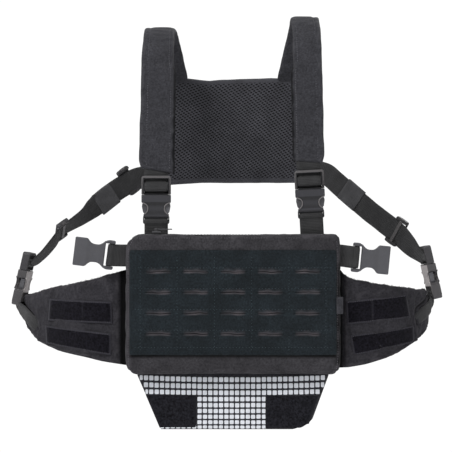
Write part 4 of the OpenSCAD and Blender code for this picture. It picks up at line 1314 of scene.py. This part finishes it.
def pad(s, n):
    path, at = pad_points(6 * s)
    y, z = path[:, 0], path[:, 1]
    ahead = y < -5
    t = np.clip((40 - z) / 220, 0, 1)
    tr = np.clip((5 - z) / 54, 0, 1)
    wide, slim = (-95, 5.5) if s < 0 else (-92.8, 5.0)
    outer = np.where(ahead, wide - slim * t, wide - 5 * tr)
    inner = np.where(ahead, -62.5 - (2 if s < 0 else 4) * t, -62.5 + 12.5 * tr)
    outer = smoothed(outer) + 2.0 * (1 - ramp(at, 0, 9))
    under = 2.6 * ramp(-z, 40, 52) * ahead
    inner = smoothed(inner) + under
    across = (stations(100, 7, 14) / 100)[:, None]
    p = surface(between(outer, inner, across), y, z)
    step = np.gradient(path, axis=0)
    outward = unit(surface(0, step[:, 1], -step[:, 0]))
    if outward[len(at) // 2, 2] < 0:
        outward = -outward
    outward = np.broadcast_to(outward, p.shape)
    far_out = p[..., 0] - outer
    far_in = inner - p[..., 0]
    p[..., 2] += (3.2 if s < 0 else -1.2) * (1 - 2 * across) * (1 - ramp(at, 2, 26))
    # Along the inner edge, where it tucks under: lowered, and painted shade in its colour
    shade_strip = ramp(under - far_in, -0.2, 0.4) * (under > 0.5)
    rim = edge_round(p, (3.2, 2.8, 3, 3))
    top = np.exp(-((at - 155) / 26) ** 2)[None]
    crease = 0.9 * fbm(p * [0.35, 1, 1], 7, s, 2) * top + 0.5 * fbm(p, 40, 3 + s) + 0.25 * fbm(p, 12, 7 + s)
    outer_seam = 0.9 * (1 - ramp(np.abs(far_out - 6.2), 0.4, 1.9)) * (1 - 0.6 * top)
    inner_seam = 0.5 * (1 - ramp(np.abs(far_in - 3.2), 0.3, 1.6))
    front = 0.3 + 3.4 * rim + (crease - outer_seam - inner_seam) * ramp(rim, 0.3, 0.8) - 2.2 * shade_strip
    p[..., 0] += 0.7 * fbm(p, 24, 11 + s)
    attrs = {"edge": shade_strip}
    o = slab(f"shoulder_pad_{n}", sided(s, p), front, 0.3 + 3.3 * rim, M["pad_cloth"], outward, attrs)
    pin = np.where((rim < 0.5) | (np.abs(far_out - 6.2) < 1.2), 1.0, 0.0)
    inflate(o, [pin, pin], 3.5, 1.2, -0.01)
    rounder(o)
    show(o, "harness", [f"pad_cover_{n}", f"pad_foam_{n}"])
    for k, far, off in (("outer", far_out, 7.6), ("inner", far_in, 4.6)):
        i = int(np.argmin(np.abs(far[:, 40] - off)))
        line = sided(s, p[i] + outward[i] * (front[i][:, None] + 0.1))[4:-4]
        normal = sided(s, outward[i][4:-4])
        sew(f"pad_stitches_{k}_{n}", line, normal, "thread", (2.6, 1.7, 0.22))


# ---------------------------------------------------------------- back panel
def back_panel():
    u, v = np.linspace(-1, 1, 100)[:, None], np.linspace(0, 1, 59)[None]
    half = 100 - 8 * v
    top_z = np.interp(u * 100, [-100, -50, -26, -7, 43, 100], [-49, -47.8, -50.4, -49.3, -47.2, -48.5])
    low_z = np.interp(u * 92, [-92, -72, -35, 92], [-167, -168, -165.6, -165.6])
    p = surface(u * half, 0, between(top_z, low_z, v))
    p[..., 2] += 0.5 * fbm(p, 30, 4)
    p[..., 1] = 81
    far = np.minimum((1 - np.abs(u)) * half, from_ends(v, 118))
    rim = edge_round(p, (3, 3, 3, 3))
    field = ramp(far, 4.6, 6.0)
    quilt = 1.2 * fbm(p, 60, 2) * ramp(far, 4, 20)
    bind = 0.9 * (1 - ramp(np.abs(far - 4.6), 0.5, 1.6))
    front = 0.3 + 3.5 * rim - bind * ramp(rim, .3, .8) + quilt
    o = slab("back_panel", p, front, 0.3 + 3.4 * rim, M["mesh"], attrs={"mesh": field})
    show(o, "harness", ["back_mesh", "back_foam", "back_cover"])
    o = glide("rear_tri_glide_right_frame", -1, (-116.5, 74.5, -163), (-.715, -.38, -.58), UP, 2.4)
    show(o, "rear_tri_glide_right", ["rear_tri_glide_right"])


pouch()
slot_panel()
zip_parts()
side_tag()
flap()
back_panel()
for sign, side_name in SIDES:
    for make in (wing, pad, shoulder_buckle, side_buckle, side_strap, open_stub):
        make(sign, side_name)
for node in ("zip_slider", "zip_pull"):
    polish(node, "zip_metal")

# ---------------------------------------------------------------- room, light and camera
world = bpy.data.worlds.new("studio")
scene.world = world
world.use_nodes = True
wt = world.node_tree
bg = wt.nodes["Background"]
bg.inputs[0].default_value, bg.inputs[1].default_value = (1, 1, 1, 1), 0.29
seen = wt.nodes.new("ShaderNodeBackground")
seen.inputs[0].default_value, seen.inputs[1].default_value = (1, 1, 1, 1), 1.05
path = wt.nodes.new("ShaderNodeLightPath")
pick = wt.nodes.new("ShaderNodeMixShader")
wt.links.new(path.outputs["Is Camera Ray"], pick.inputs[0])
wt.links.new(bg.outputs[0], pick.inputs[1])
wt.links.new(seen.outputs[0], pick.inputs[2])
wt.links.new(pick.outputs[0], wt.nodes["World Output"].inputs["Surface"])

floor_mat = Nodes("floor", 0.6, 0.2)
floor_mat.bsdf.inputs["Base Color"].default_value = (0.85, 0.85, 0.86, 1)
floor = build("floor", [[-1400, -1000, -620], [1400, -1000, -620], [1400, 1000, -620], [-1400, 1000, -620]],
              [(0, 1, 2, 3)], M["floor"], smooth=False)


def area(name, at, size, power, aim=(0, -0.03, -0.22)):
    """A soft lamp at a place in metres, turned towards aim."""
    lamp = bpy.data.lights.new(name, "AREA")
    lamp.shape, lamp.size, lamp.size_y = "RECTANGLE", size[0], size[1]
    lamp.energy = power
    o = bpy.data.objects.new(name, lamp)
    o.location = at
    o.rotation_mode = "QUATERNION"
    o.rotation_quaternion = (Vector(aim) - Vector(at)).to_track_quat("-Z", "Y")
    scene.collection.objects.link(o)


area("key", (-0.7, -1.3, 1.0), (0.7, 0.6), 18)
area("fill", (1.3, -1.2, 0.25), (0.8, 1.0), 6)
area("top", (0.1, 0.2, 1.3), (1.2, 0.6), 8)
area("front", (0.1, -1.9, -0.75), (1.2, 0.5), 6.5, (0, -0.08, -0.4))
area("left_rim", (-1.3, -0.1, 0.0), (0.4, 1.0), 5)
area("back", (0.9, 1.6, 0.8), (0.8, 0.8), 14, (0, 0.05, -0.2))

# A long lens about 2.4 m in front of the vest
cam = bpy.data.cameras.new("camera")
cam.sensor_width, cam.lens = 36, 182.05
camera = bpy.data.objects.new("camera", cam)
camera.location = (-0.00735, -2.495, -0.214)
camera.rotation_euler = (math.pi / 2, 0, 0)
scene.collection.objects.link(camera)
scene.camera = camera
scene.view_settings.view_transform = "Standard"
scene.view_settings.look = "None"
